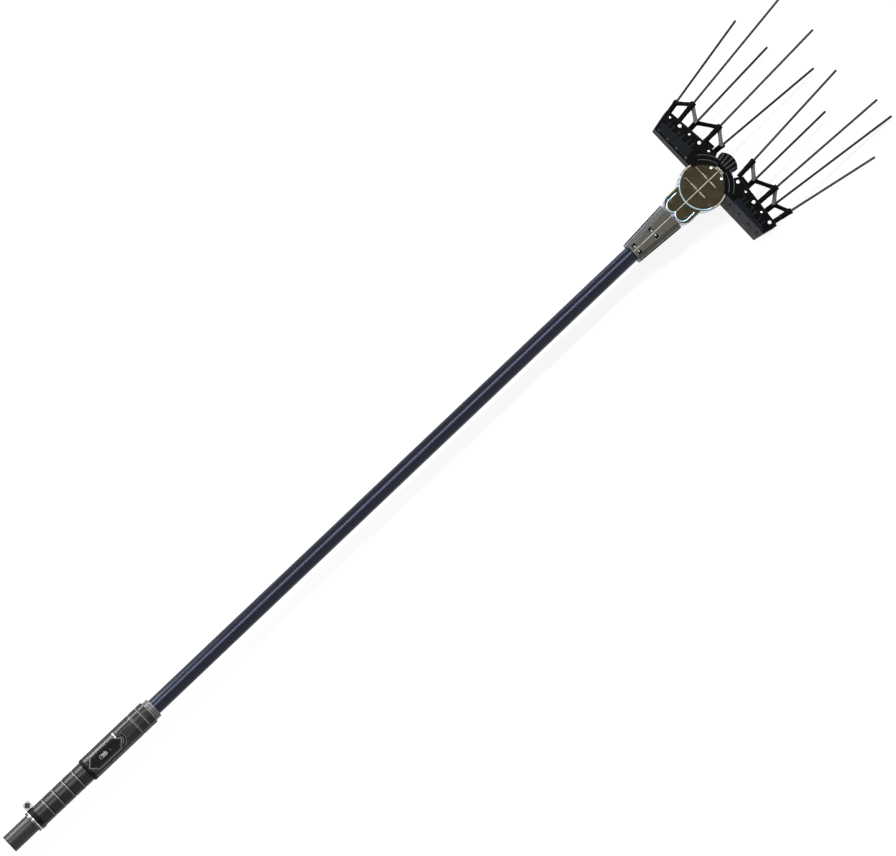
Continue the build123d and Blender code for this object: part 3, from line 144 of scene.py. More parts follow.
finishes = {
    # Sprayed and baked powder on a drawn tube: near black, with one clean soft highlight line
    "pole_paint": finish("navy_powder_coat", "#090a10", "#0e0f17", 0.28, mottle=30, grain=2.4,
                         depth=0.002, gloss=0.3, spread=0.03, tint="#ced9ff"),
    # Dull moulded rubber: no mirror, only a wide pale sheen on the side that faces the lamp
    "grip_rubber": finish("moulded_nitrile_rubber", "#0b0b0b", "#131313", 0.36, grain=1.6, depth=0.008,
                          gloss=0.2, spread=0.06),
    # Pale rubber: painted highlights on the grip's ridges, the housing's beads and ring lines, the recess
    # rim, the hood's edge lines and the ferrule's crests
    "pale_rubber_highlight": finish("pale_nitrile_painted_highlight", "#484848", "#707070", 0.38, mottle=7, gloss=0.45),
    # Fibre-filled nylon: finely pitted, satin, with pale scuffed edges
    "housing_plastic": finish("glass_filled_nylon", "#0d0d0d", "#161616", 0.36, grain=1.4, depth=0.008,
                              worn="#8c8c8c", edge=1.1, gloss=0.2, spread=0.06),
    # Smooth blow-moulded sleeve: soft grey with a broad lighter side
    "cap_plastic": finish("moulded_polyethylene", "#101010", "#171717", 0.4, mottle=16, grain=1.8,
                          depth=0.008, worn="#4c4c4c", gloss=0.32, spread=0.06),
    # Hard bright chrome: mirrors the white room, with a cold blue cast
    "bright_steel": finish("polished_chromed_steel", "#8fbdd2", "#c3e0ec", 0.14, 1.0, mottle=6,
                           grain=0.8, depth=0.004),
    # Pressed bare steel of the clamp: bright and neutral
    "clamp_steel": finish("pressed_stainless_steel", "#8f9193", "#c9cbcc", 0.24, 1.0, mottle=5,
                          grain=0.9, depth=0.01),
    # Steel brushed dull by use: mid grey
    "dull_steel": finish("brushed_stainless_steel", "#3a3b3c", "#5c5d5e", 0.3, 1.0, mottle=4, grain=0.8,
                         depth=0.01),
    # Zinc plate: almost white where it faces the light
    "bolt_steel": finish("zinc_plated_steel", "#dadcdd", "#f0f1f2", 0.28, 1.0, mottle=3, grain=0.6,
                         depth=0.01),
    # Black oxide: dark screw heads with rubbed rims
    "black_steel": finish("black_oxide_steel", "#0c0d0f", "#16171a", 0.4, mottle=3, grain=0.8,
                          depth=0.01, worn="#7d8286", edge=0.5, gloss=0.3),
    # Deep black insert: it has to read as a hole in the grey housing. The same black is painted shade in the
    # grip's and housing's grooves, on the housing's rear end, in the neck's bolt pockets and along the
    # neck's chamfers
    "bezel_plastic": finish("matt_black_abs_and_painted_shade", "#020202", "#040404", 0.5, mottle=12, grain=2,
                            depth=0.02, gloss=0.08),
    # Lenses painted near white: small white dots that stand in for glints on the recess corner
    "lens_plastic": finish("white_lens_painted_glint", "#eef1f3", "#ffffff", 0.12, mottle=2, grain=1,
                           depth=0.0),
    # Painted casting: brown grey, a little metallic, with cold pale edges
    "neck_alloy": finish("painted_die_casting", "#26241d", "#373429", 0.38, 0.25, grain=3.0, depth=0.001,
                         worn="#a9b4b8", spread=0.03),
    # Anodised cover: olive brown with warmer bronze clouds
    "cover_alloy": finish("bronze_anodised_die_casting", "#221e15", "#332d20", 0.42, 1.0, mottle=22,
                          grain=1.4, depth=0.006, worn="#7d7a6a", edge=0.8),
    # Pale grey alloy for thin lines: painted highlights on the cover's ribs, the neck's seam, beads and rear
    # edge and the lobe trim; plain pale alloy on the front of the cover rim
    "pale_alloy_and_highlight": finish("pale_alloy_and_painted_highlight", "#6b6a60", "#a3a298", 0.34, 0.8, mottle=5, grain=1,
                        depth=0.01),
    # Polished base of the gearbox: a pale mirror with a lavender cast
    "base_alloy": finish("polished_die_casting", "#a3a3b6", "#bfbecb", 0.18, 1.0, mottle=10, grain=1.2,
                         depth=0.004),
    # Painted shade: dark navy in the groove beside the polished rim and round each lobe
    "painted_shade_navy": finish("navy_painted_shade", "#161b26", "#222a38", 0.5, mottle=6, gloss=0.2),
    # Comb shells: black satin nylon that stays black in white surroundings
    "comb_plastic": finish("black_glass_filled_nylon", "#020202", "#050506", 0.45, mottle=10,
                           grain=1.4, depth=0.03, worn="#3c3f44", edge=0.8, gloss=0.03),
    # Raised navy panels of the combs, a shade lighter than the shells
    "panel_plastic": finish("navy_glass_filled_nylon", "#090b11", "#11151e", 0.4, mottle=16,
                            grain=1.6, depth=0.03, worn="#50545c", edge=0.7, gloss=0.05),
    # Pale grey nylon: painted light on the combs' rear bevels, painted highlights on the nose's fin tops and
    # the hub ribs
    "pale_nylon_painted_light": finish("pale_glass_filled_nylon_painted_light", "#1f2124", "#323438", 0.5, mottle=12,
                              grain=1.2, depth=0.03, worn="#6a6c70", edge=0.8, gloss=0.2),
    # Painted light: pale grey nylon on every second web bar, a lit copy of the black nylon
    "lit_web_plastic": finish("lit_glass_filled_nylon_painted_light", "#6d6f72", "#9a9c9f", 0.5, mottle=8,
                             grain=1.2, depth=0.03, gloss=0.2),
    # Pultruded carbon: long fibre streaks under a thin resin shine
    "rod_composite": finish("pultruded_carbon_rod", "#131313", "#232221", 0.36, mottle=2.4, grain=1,
                            depth=0.005, gloss=0.25, drawn=30),
    # Drawn steel can: faint lines along its length
    "motor_steel": finish("drawn_steel_can", "#82888c", "#a0a5a8", 0.34, 1.0, mottle=3, drawn=12),
    # Sintered ferrite: dull dark grey
    "magnet": finish("sintered_ferrite", "#232326", "#303034", 0.6),
    # Hardened steel: grey with a slight oil bloom
    "gear_steel": finish("hardened_gear_steel", "#7c8084", "#96999c", 0.32, 1.0),
    # Sintered bronze: warm and porous
    "bronze": finish("sintered_bronze", "#8a6536", "#a9834c", 0.42, 1.0, grain=0.8),
    # Machined aluminium: pale and even
    "lever_alloy": finish("machined_aluminium", "#a2a6a9", "#babdc0", 0.34, 1.0),
    # Rubber sheath: matt black
    "lead_rubber": finish("rubber_lead_sheath", "#121212", "#1b1b1b", 0.6),
    # Solder mask: almost black under a clear gloss
    "board": finish("black_solder_mask", "#080c0a", "#0e1411", 0.4, coat=0.3),
}
# A CAD node shows the finish of its own slot, apart from these two: lobe_trim takes the pale painted
# highlight
shown_as = {"lobe_trim": "pale_alloy_and_highlight", "housing_screws": "black_steel"}
for name, node in nodes.items():
    for socket in node.material_slots:
        socket.material = finishes[shown_as.get(name, socket.material.name)]


def sharp_edges(bm, least=0.0, turn=40):
    """Edges longer than least where two faces turn by more than an angle in degrees."""
    return [edge for edge in bm.edges if len(edge.link_faces) == 2
            and edge.calc_length() > least and edge.calc_face_angle() > radians(turn)]


def round_off(bm, edges, width, segments=2):
    """Rounds these edges, so that they catch the light as moulded and cast ones do."""
    bmesh.ops.bevel(bm, geom=edges, offset=width, offset_type="OFFSET", segments=segments, profile=0.5,
                    affect="EDGES", material=-1, clamp_overlap=True)


def piece(name, bm, body, coats, replaced=(), coat_of=None):
    """A bmesh in millimetres as a finished piece that rides on a body and stands for CAD nodes.

    coat_of picks one of the coats from a face's middle and normal.
    """
    if coat_of:
        bm.normal_update()
        for face in bm.faces:
            face.material_index = coat_of(face.calc_center_median(), face.normal)
    bmesh.ops.scale(bm, verts=bm.verts, vec=(MM, MM, MM))
    mesh = bpy.data.meshes.new(name)
    bm.to_mesh(mesh)
    bm.free()
    mesh.shade_smooth()
    mesh.set_sharp_from_angle(angle=radians(SMOOTH_BELOW))
    for coat in coats:
        mesh.materials.append(finishes[coat])
    made = bpy.data.objects.new(name, mesh)
    bpy.context.scene.collection.objects.link(made)
    flat = made.modifiers.new("flat_faces", "WEIGHTED_NORMAL")
    flat.keep_sharp = True
    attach(made, body)
    if replaced:
        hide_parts(*replaced)


def softened(node, width, least, body, coats, coat_of=None, cuts=()):
    """A copy of a CAD piece with its longer sharp edges rounded, and cut across where its coat changes."""
    bm = bmesh.new()
    bm.from_mesh(nodes[node].data)
    bmesh.ops.scale(bm, verts=bm.verts, vec=(1 / MM, 1 / MM, 1 / MM))
    bmesh.ops.remove_doubles(bm, verts=bm.verts, dist=WELD)
    bmesh.ops.dissolve_limit(bm, angle_limit=radians(FLAT_BELOW), verts=bm.verts, edges=bm.edges,
                             use_dissolve_boundaries=False, delimit=set())
    round_off(bm, sharp_edges(bm, least), width)
    for x in cuts:
        bmesh.ops.bisect_plane(bm, geom=bm.verts[:] + bm.edges[:] + bm.faces[:], plane_co=(x, 0, 0),
                               plane_no=(1, 0, 0))
    piece(node + "_softened", bm, body, coats, (node,), coat_of)


def spun(profile, steps=96, start=0.0, sweep=360.0):
    """A closed profile of x and radius spun about the pole's axis, from an angle off +Y."""
    bm = bmesh.new()
    points = [bm.verts.new((x, radius, 0)) for x, radius in profile]
    face = bm.faces.new(points)
    bmesh.ops.rotate(bm, verts=points, cent=(0, 0, 0), matrix=Matrix.Rotation(radians(start), 3, "X"))
    whole = sweep >= 360
    geom = [face, *face.verts, *face.edges]
    if whole:
        bmesh.ops.delete(bm, geom=[face], context="FACES_ONLY")
        geom = bm.verts[:] + bm.edges[:]
    bmesh.ops.spin(bm, geom=geom, cent=(0, 0, 0), axis=(1, 0, 0), angle=radians(sweep), steps=steps,
                   use_merge=whole)
    bmesh.ops.recalc_face_normals(bm, faces=bm.faces)
    return bm


def arc_rib(bm, inner, outer, z0, z1, start, stop, centre=(0, 0), width=FINE_ROUND, steps=20):
    """A rib bent round z, between two radii, heights and angles in degrees."""
    before = set(bm.verts)
    corners = [bm.verts.new((radius, 0, z)) for radius, z in
               ((inner, z0), (outer, z0), (outer, z1), (inner, z1))]
    face = bm.faces.new(corners)
    bmesh.ops.rotate(bm, verts=corners, cent=(0, 0, 0), matrix=Matrix.Rotation(radians(start), 3, "Z"))
    bmesh.ops.spin(bm, geom=[face, *face.verts, *face.edges], cent=(0, 0, 0), axis=(0, 0, 1),
                   angle=radians(stop - start), steps=steps)
    made = set(bm.verts) - before
    bmesh.ops.translate(bm, verts=list(made), vec=(*centre, 0))
    bmesh.ops.recalc_face_normals(bm, faces=bm.faces)
    edges = [edge for edge in sharp_edges(bm, turn=60) if made.issuperset(edge.verts)]
    round_off(bm, edges, width)


def block(bm, low, high, width=FINE_ROUND, turn=Matrix.Identity(4)):
    """A box between two corners with rounded edges, turned by a matrix."""
    size = Vector(high) - Vector(low)
    place = Matrix.Translation((Vector(high) + Vector(low)) / 2) @ Matrix.Diagonal((*size, 1))
    made = bmesh.ops.create_cube(bm, size=1, matrix=turn @ place)
    round_off(bm, list({edge for vert in made["verts"] for edge in vert.link_edges}), width)


def bar(bm, start, stop, up, wide, high, width=FINE_ROUND):
    """A flat bar from one point to another, high along up and wide across."""
    start, stop = Vector(start), Vector(stop)
    along = (stop - start).normalized()
    side = Vector(up).cross(along).normalized()
    turn = Matrix((along, side, along.cross(side))).transposed().to_4x4()
    half = (stop - start).length / 2
    block(bm, (-half, -wide / 2, -high / 2), (half, wide / 2, high / 2), width,
          Matrix.Translation((start + stop) / 2) @ turn)


def slab(bm, outline, z0, z1, width):
    """A flat plate with this outline of x, y points between two heights, its z1 edge rounded."""
    face = bm.faces.new([bm.verts.new((x, y, z0)) for x, y in outline])
    made = bmesh.ops.extrude_face_region(bm, geom=[face], use_keep_orig=True)["geom"]
    top = [item for item in made if isinstance(item, bmesh.types.BMVert)]
    bmesh.ops.translate(bm, verts=top, vec=(0, 0, z1 - z0))
    bmesh.ops.recalc_face_normals(bm, faces=bm.faces)
    round_off(bm, [item for item in made if isinstance(item, bmesh.types.BMEdge)], width)


def ring(bm, radius, height, corners=ROUND):
    """Vertices and edges of a circle about z, or of a polygon with as many, its corners at this radius."""
    verts = bmesh.ops.create_circle(bm, segments=ROUND, radius=radius,
                                    matrix=Matrix.Translation((0, 0, height)))["verts"]
    side = 2 * pi / corners
    for vert in verts:
        off = atan2(vert.co.y, vert.co.x) % side - side / 2
        pull = cos(side / 2) / cos(off) if corners < ROUND else 1
        vert.co.x *= pull
        vert.co.y *= pull
    return verts, list({edge for vert in verts for edge in vert.link_edges})


def stacked(bm, loops, foot, way, closed=False):
    """Skins rings of radius, height and corners in order, then turns z to way and z = 0 to foot.

    The rings are bridged a step apart, because two rings in one plane would be joined with a twist.
    """
    made = [ring(bm, radius, step, *corners) for step, (radius, height, *corners) in enumerate(loops)]
    edges = [loop_edges for verts, loop_edges in made]
    pairs = list(zip(edges, edges[1:]))
    if closed:
        pairs.append((edges[-1], edges[0]))
    for inner, outer in pairs:
        bmesh.ops.bridge_loops(bm, edges=inner + outer)
    if not closed:
        bmesh.ops.contextual_create(bm, geom=edges[0])
        bmesh.ops.contextual_create(bm, geom=edges[-1])
    turn = Vector((0, 0, 1)).rotation_difference(Vector(way)).to_matrix().to_4x4()
    for step, (verts, loop_edges) in enumerate(made):
        bmesh.ops.translate(bm, verts=verts, vec=(0, 0, loops[step][1] - step))
        bmesh.ops.transform(bm, matrix=Matrix.Translation(foot) @ turn, verts=verts)
    bmesh.ops.recalc_face_normals(bm, faces=bm.faces)


# Shares of a screw head's radius and height; a tip's share of the shank's radius, and its length
HEAD_SOCKET_R, HEAD_SOCKET_FLOOR = 0.52, 0.35
HEAD_BEVEL_R, HEAD_BEVEL_H = 0.84, 0.78
DOME = ((0.25, 1.0), (0.62, 0.9), (0.9, 0.6), (1.0, 0.25))
TIP_R, TIP_LENGTH = 0.7, 0.4
HEXAGON, SQUARE = 6, 4


def shank_loops(head_r, shank_r, shank):
    """Rings of a screw from the underside of its head to its bevelled tip."""
    return (head_r, 0), (shank_r, 0), (shank_r, TIP_LENGTH - shank), (TIP_R * shank_r, -shank)


def bolt(bm, foot, way, head_r, head_h, shank_r, shank):
    """A cap screw with a hexagon socket; foot is under the middle of its head, way points out of it."""
    socket = HEAD_SOCKET_R * head_r
    stacked(bm, ((socket, HEAD_SOCKET_FLOOR * head_h, HEXAGON), (socket, head_h, HEXAGON),
                 (HEAD_BEVEL_R * head_r, head_h), (head_r, HEAD_BEVEL_H * head_h),
                 *shank_loops(head_r, shank_r, shank)), foot, way)


def dome_bolt(bm, foot, way, head_r, head_h, shank_r, shank):
    """A bolt with a plain domed head."""
    dome = [(share * head_r, rise * head_h) for share, rise in DOME]
    stacked(bm, (*dome, *shank_loops(head_r, shank_r, shank)), foot, way)


# Handle, in order from the tail
FIXED = "handle_and_gearbox"
POLE_SEAT = 17.05
INLET_R, TAIL_R = 4.5, 19.0
TAIL_WALL, TAIL_LENGTH = 5.0, 61.0
HOUSING_START = 204.6
FERRULE_START = 370.6
POLE_SHOWS = 384.6
bm = spun(((0, INLET_R), (0, TAIL_R), (TAIL_LENGTH, TAIL_R), (TAIL_LENGTH, POLE_SEAT),
           (TAIL_WALL, POLE_SEAT), (TAIL_WALL, INLET_R)))
round_off(bm, sharp_edges(bm), 1.2, 3)
piece("tail_cap_moulding", bm, FIXED, ["cap_plastic"], ["tail_cap"])

# Grip with a ridge behind each groove, both measured from where the groove starts; the ridges are painted
# pale as highlights and the grooves black as shade
GRIP_R = 22.0
GROOVES, FIRST_GROOVE, GROOVE_PITCH = 4, 104.6, 26.3
RIDGE_RISE, GROOVE_DROP = 0.6, 1.0
RIDGE_FOOT, RIDGE_START, RIDGE_STOP = 2.7, 2.3, 0.2
GROOVE_FLOOR, GROOVE_STOP = 2.0, 2.2
profile = [(TAIL_LENGTH, GRIP_R)]
for index in range(GROOVES):
    groove = FIRST_GROOVE + GROOVE_PITCH * index
    profile += [(groove - RIDGE_FOOT, GRIP_R), (groove - RIDGE_START, GRIP_R + RIDGE_RISE),
                (groove - RIDGE_STOP, GRIP_R + RIDGE_RISE), (groove, GRIP_R - GROOVE_DROP),
                (groove + GROOVE_FLOOR, GRIP_R - GROOVE_DROP), (groove + GROOVE_STOP, GRIP_R)]
profile += [(HOUSING_START, GRIP_R), (HOUSING_START, POLE_SEAT), (TAIL_LENGTH, POLE_SEAT)]


def grip_coat(spot, normal):
    """Painted highlight on the ridges, painted shade in the grooves."""
    off = hypot(spot.y, spot.z) - GRIP_R
    return 1 if off > 0.5 * RIDGE_RISE else 2 if -1.2 * GROOVE_DROP < off < -0.3 * GROOVE_DROP else 0


piece("grip_moulding", spun(profile), FIXED,
      ["grip_rubber", "pale_rubber_highlight", "bezel_plastic"], ["grip_sleeve"], grip_coat)

# Pressed end ring with two beads and a painted highlight on the front one's crest, then the clamp's black
# pad and its square-headed bolt
END_REAR, END_FRONT = 61.3, 67.7
END_FOOT_R, END_BEAD_R, END_DIP_R = 21.9, 22.9, 22.2
END_BEAD, END_SLOPE = 2.1, 0.5
bm = spun(((END_REAR, END_FOOT_R), (END_REAR, END_BEAD_R), (END_REAR + END_BEAD, END_BEAD_R),
           (END_REAR + END_BEAD + END_SLOPE, END_DIP_R), (END_FRONT - END_BEAD - END_SLOPE, END_DIP_R),
           (END_FRONT - END_BEAD, END_BEAD_R), (END_FRONT, END_BEAD_R), (END_FRONT, END_FOOT_R)))
round_off(bm, sharp_edges(bm), 0.3)


def end_ring_coat(spot, normal):
    """Painted highlight: bright steel on the crest of the front bead."""
    return int(spot.x > (END_REAR + END_FRONT) / 2 and hypot(spot.y, spot.z) > END_BEAD_R - 0.1)


piece("grip_end_ring", bm, FIXED, ["dull_steel", "clamp_steel"], coat_of=end_ring_coat)


def clamp_coat(spot, normal):
    """Bright ears on a blackened band."""
    return int(spot.y > GRIP_R)


softened("clamp_band", 0.3, 2.0, FIXED, ["black_steel", "clamp_steel"], clamp_coat)
CLAMP_PAD_REAR, CLAMP_PAD_FRONT = 68.3, 78.7
CLAMP_PAD_INNER, CLAMP_PAD_OUTER = 23.4, 25.0
CLAMP_PAD_START, CLAMP_PAD_SWEEP = 22, 108
bm = spun(((CLAMP_PAD_REAR, CLAMP_PAD_INNER), (CLAMP_PAD_REAR, CLAMP_PAD_OUTER),
           (CLAMP_PAD_FRONT, CLAMP_PAD_OUTER), (CLAMP_PAD_FRONT, CLAMP_PAD_INNER)),
          60, CLAMP_PAD_START, CLAMP_PAD_SWEEP)
round_off(bm, sharp_edges(bm), 0.5)
piece("clamp_pad", bm, FIXED, ["bezel_plastic"])
CLAMP_BOLT = (76.5, 31.0)
EAR_HALF = 7
CLAMP_HEAD_R, CLAMP_HEAD_H, CLAMP_TOP_R = 7.0, 4.0, 1.2
CLAMP_NUT_R, CLAMP_NUT_H, CLAMP_NUT_EDGE = 6.2, 4.0, 3.4
CLAMP_SHANK_R, CLAMP_SHANK, CLAMP_TIP_R = 2.5, 18, 2
CLAMP_NUT_BORE = 2.55
CORNER_CUT = 0.8
bm = bmesh.new()
stacked(bm, ((CLAMP_TOP_R, CLAMP_HEAD_H), (CLAMP_HEAD_R - CORNER_CUT, CLAMP_HEAD_H, SQUARE),
             (CLAMP_HEAD_R, CLAMP_HEAD_H - CORNER_CUT, SQUARE), (CLAMP_HEAD_R, 0, SQUARE),
             (CLAMP_SHANK_R, 0), (CLAMP_SHANK_R, TIP_LENGTH - CLAMP_SHANK), (CLAMP_TIP_R, -CLAMP_SHANK)),
        (*CLAMP_BOLT, EAR_HALF), (0, 0, 1))
stacked(bm, ((CLAMP_NUT_R, 0, SQUARE), (CLAMP_NUT_R, CLAMP_NUT_EDGE, SQUARE),
             (CLAMP_NUT_R - CORNER_CUT, CLAMP_NUT_H, SQUARE), (CLAMP_NUT_BORE, CLAMP_NUT_H),
             (CLAMP_NUT_BORE, 0)), (*CLAMP_BOLT, -EAR_HALF), (0, 0, -1), True)
piece("clamp_bolt", bm, FIXED, ["black_steel"], ["clamp_fasteners"])

# Switch housing with painted shade on its rear end and in two ring grooves, and a painted highlight just
# behind each groove
HOUSING_TOP, HOUSING_CORNER, HOUSING_HALF = 30.0, 20.0, 25.0
BLACK_END = 212.4
HOUSING_RINGS = (335.2, 355.6)
RING_LINE, RING_GROOVE = 1.8, 1.6


def housing_coat(spot, normal):
    """Painted shade at the rear end and in the two ring grooves, painted highlight just behind the grooves.
    """
    for line in HOUSING_RINGS:
        if abs(normal.x) < 0.5 and -RING_LINE < spot.x - line < RING_GROOVE:
            return 1 if spot.x > line else 2
    return int(spot.x < BLACK_END)


for shell in ("upper", "lower"):
    softened(f"switch_housing_{shell}", 0.4, 3.0, FIXED,
             ["housing_plastic", "bezel_plastic", "pale_rubber_highlight"], housing_coat,
             (BLACK_END, *(line - RING_LINE for line in HOUSING_RINGS)))


def crown(y):
    """Height of the housing's rounded top at a distance from its middle."""
    past = max(abs(y) - (HOUSING_HALF - HOUSING_CORNER), 0)
    return HOUSING_TOP - HOUSING_CORNER + sqrt(HOUSING_CORNER ** 2 - past ** 2)


# Beads along the housing painted pale as highlights: the left one lies close to the recess, and both leave
# out the grooves
HOUSING_BEADS = ((-1, 20.5), (1, 16.6))
BEAD_WIDE, BEAD_HIGH, BEAD_GAP = 1.4, 0.8, 0.2
bead_starts = (BLACK_END, *(line + RING_GROOVE for line in HOUSING_RINGS))
bead_stops = (*HOUSING_RINGS, FERRULE_START)
bm = bmesh.new()
for side, bead_y in HOUSING_BEADS:
    slope = bead_y - HOUSING_HALF + HOUSING_CORNER
    way = (0, side * slope, sqrt(HOUSING_CORNER ** 2 - slope ** 2))
    for start, stop in zip(bead_starts, bead_stops):
        ends = [(x, side * bead_y, crown(bead_y)) for x in (start + BEAD_GAP, stop - BEAD_GAP)]
        bar(bm, *ends, way, BEAD_WIDE, BEAD_HIGH)
piece("housing_beads", bm, FIXED, ["pale_rubber_highlight"])

# Rim of the switch recess, painted pale as a highlight: a long hexagon that follows the rounded top
RECESS_MID, RECESS_LENGTH, RECESS_WIDTH = 254.6, 84.0, 28.0
RECESS_RIM, RECESS_RIM_HIGH = 1.6, 1.2
rim_end, rim_side = RECESS_LENGTH / 2 + RECESS_RIM, RECESS_WIDTH / 2 + RECESS_RIM
rim_corner = rim_end - rim_side
corners = ((-rim_end, 0), (-rim_corner, -rim_side), (rim_corner, -rim_side), (rim_end, 0),
           (rim_corner, rim_side), (-rim_corner, rim_side))
bm = bmesh.new()
face = bm.faces.new([bm.verts.new((x + RECESS_MID, y, 0)) for x, y in corners])
face.normal_update()
bmesh.ops.inset_region(bm, faces=[face], thickness=RECESS_RIM, use_even_offset=True, use_boundary=True)
bmesh.ops.delete(bm, geom=[face], context="FACES_ONLY")
slanted = [edge for edge in bm.edges
           if abs(edge.verts[0].co.y - edge.verts[1].co.y) > RECESS_WIDTH / 4]
bmesh.ops.subdivide_edges(bm, edges=slanted, cuts=4, use_grid_fill=True)
made = bmesh.ops.extrude_face_region(bm, geom=bm.faces[:], use_keep_orig=True)["geom"]
raised = [item for item in made if isinstance(item, bmesh.types.BMVert)]
bmesh.ops.translate(bm, verts=raised, vec=(0, 0, RECESS_RIM_HIGH))
for vert in bm.verts:
    vert.co.z += crown(vert.co.y) - RECESS_RIM_HIGH / 2
bmesh.ops.recalc_face_normals(bm, faces=bm.faces)
piece("recess_rim", bm, FIXED, ["pale_rubber_highlight"])

# Curved hood at the recess's front end, with a line painted pale as a highlight along both edges
HOOD_BACK, HOOD_ARC = 8, (-75, 40)
HOOD_MID = (RECESS_MID + RECESS_LENGTH / 2 - HOOD_BACK, 0)
HOOD_INNER, HOOD_OUTER = 10.8, 15.4
HOOD_LINES, HOOD_LINE_WIDE = (10.2, 15.3), 0.9
HOOD_FOOT, HOOD_TOP, HOOD_LINE_TOP = 26.0, 30.8, 31.1
bm = bmesh.new()
arc_rib(bm, HOOD_INNER, HOOD_OUTER, HOOD_FOOT, HOOD_TOP, *HOOD_ARC, HOOD_MID, 0.5)
piece("recess_hood", bm, FIXED, ["bezel_plastic"])
bm = bmesh.new()
for inner in HOOD_LINES:
    arc_rib(bm, inner, inner + HOOD_LINE_WIDE, HOOD_FOOT, HOOD_LINE_TOP, *HOOD_ARC, HOOD_MID)
piece("hood_lines", bm, FIXED, ["pale_rubber_highlight"])

# Thumb slider with four bright ridges and a dark pad, placed from its rear end
THUMB_REAR = 238.6
THUMB_RIDGES, THUMB_RIDGE_HALF, THUMB_RIDGE_SIDE = (9, 12, 15, 18), 0.6, 3.2
THUMB_RIDGE_FOOT, THUMB_RIDGE_TOP = 32.8, 33.6
THUMB_PAD_REAR, THUMB_PAD_FRONT, THUMB_PAD_SIDE = 3.2, 7.2, 3.6
THUMB_PAD_FOOT, THUMB_PAD_TOP = 32.6, 33.3
softened("thumb_slider", 0.5, 1.0, "thumb", ["dull_steel"])
bm = bmesh.new()
for ahead in THUMB_RIDGES:
    x = THUMB_REAR + ahead
    block(bm, (x - THUMB_RIDGE_HALF, -THUMB_RIDGE_SIDE, THUMB_RIDGE_FOOT),
          (x + THUMB_RIDGE_HALF, THUMB_RIDGE_SIDE, THUMB_RIDGE_TOP))
piece("slider_ridges", bm, "thumb", ["clamp_steel"])
bm = bmesh.new()
block(bm, (THUMB_REAR + THUMB_PAD_REAR, -THUMB_PAD_SIDE, THUMB_PAD_FOOT),
      (THUMB_REAR + THUMB_PAD_FRONT, THUMB_PAD_SIDE, THUMB_PAD_TOP))
piece("slider_pad", bm, "thumb", ["cap_plastic"])

# Ferrule with three ribs, their crests painted pale as highlights
FERRULE_R, FERRULE_RIB, FERRULE_RIBS = 21.0, 1.2, 3
FOOT_HALF, CREST_HALF = 1.6, 1.1
rib_pitch = (POLE_SHOWS - FERRULE_START) / FERRULE_RIBS
profile = [(FERRULE_START, POLE_SEAT), (FERRULE_START, FERRULE_R)]
for index in range(FERRULE_RIBS):
    centre = FERRULE_START + rib_pitch * (index + 0.5)
    profile += [(centre - FOOT_HALF, FERRULE_R), (centre - CREST_HALF, FERRULE_R + FERRULE_RIB),
                (centre + CREST_HALF, FERRULE_R + FERRULE_RIB), (centre + FOOT_HALF, FERRULE_R)]
profile += [(POLE_SHOWS, FERRULE_R), (POLE_SHOWS, POLE_SEAT)]


def ferrule_coat(spot, normal):
    """Painted highlight on the crests."""
    return int(hypot(spot.y, spot.z) > FERRULE_R + 0.9 * FERRULE_RIB)


piece("ferrule_moulding", spun(profile), FIXED, ["housing_plastic", "pale_rubber_highlight"],
      ["front_ferrule"], ferrule_coat)

# Neck, measured back from the gearbox axis, with painted shade in the bolt pockets and a painted highlight
# on the rear edge
NECK_REAR, NECK_FRONT = 194.0, 88.0
NECK_REAR_TOP, NECK_FRONT_TOP = 23.5, 28.0
NECK_REAR_HALF, NECK_FRONT_HALF = 23.5, 30.0
NECK_CHAMFER = 13.0
NECK_BOLTS = ((184.4, 20.05), (138.5, 23.05))
POCKET_HALF, POCKET_NEAR, POCKET_FAR, POCKET_FLOOR = 4.7, 3.8, 13.2, 15.0
REAR_EDGE, REAR_EDGE_R = 1.2, 20.0


def neck_coat(spot, normal):
    """Painted shade in the bolt pockets, painted highlight on the rear edge."""
    back = HEAD_X - spot.x
    top = NECK_REAR_TOP + (NECK_FRONT_TOP - NECK_REAR_TOP) * (NECK_REAR - back) / (NECK_REAR - NECK_FRONT)
    beside = any(abs(back - bolt_back) < POCKET_HALF for bolt_back, height in NECK_BOLTS)
    if beside and POCKET_NEAR < abs(spot.y) < POCKET_FAR and POCKET_FLOOR < abs(spot.z) < top - 0.5:
        return 1
    return 2 if back > NECK_REAR - REAR_EDGE and hypot(spot.y, spot.z) > REAR_EDGE_R else 0


for side in ("left", "right"):
    softened(f"neck_shell_{side}", 0.9, 2.0, FIXED,
             ["neck_alloy", "bezel_plastic", "pale_alloy_and_highlight"], neck_coat)

# A bead along the neck's seam, painted pale as a highlight; along each chamfer a black line of painted
# shade, with a bead beside it painted pale as a highlight
SEAM_WIDE, SEAM_HIGH, SEAM_SINK, SEAM_GAP = 1.5, 1.0, 0.1, 0.5
EDGE_TRIM = (("neck_edge_shade_lines", 1.3, 3.6, "bezel_plastic"), ("neck_edge_highlight_beads", 3.3, 1.3, "pale_alloy_and_highlight"))
TRIM_HIGH, TRIM_ROUND, TRIM_REAR_GAP, TRIM_FRONT_GAP = 0.6, 0.15, 1.5, 1
trim_ends = ((NECK_REAR - TRIM_REAR_GAP, NECK_REAR_HALF, NECK_REAR_TOP),
             (NECK_FRONT + TRIM_FRONT_GAP, NECK_FRONT_HALF, NECK_FRONT_TOP))
bm = bmesh.new()
for face in (1, -1):
    bar(bm, (HEAD_X - NECK_REAR + SEAM_GAP, 0, face * (NECK_REAR_TOP - SEAM_SINK)),
        (HEAD_X - NECK_FRONT, 0, face * (NECK_FRONT_TOP - SEAM_SINK)), (0, 0, 1), SEAM_WIDE, SEAM_HIGH)
piece("neck_seam_highlight_bead", bm, FIXED, ["pale_alloy_and_highlight"])
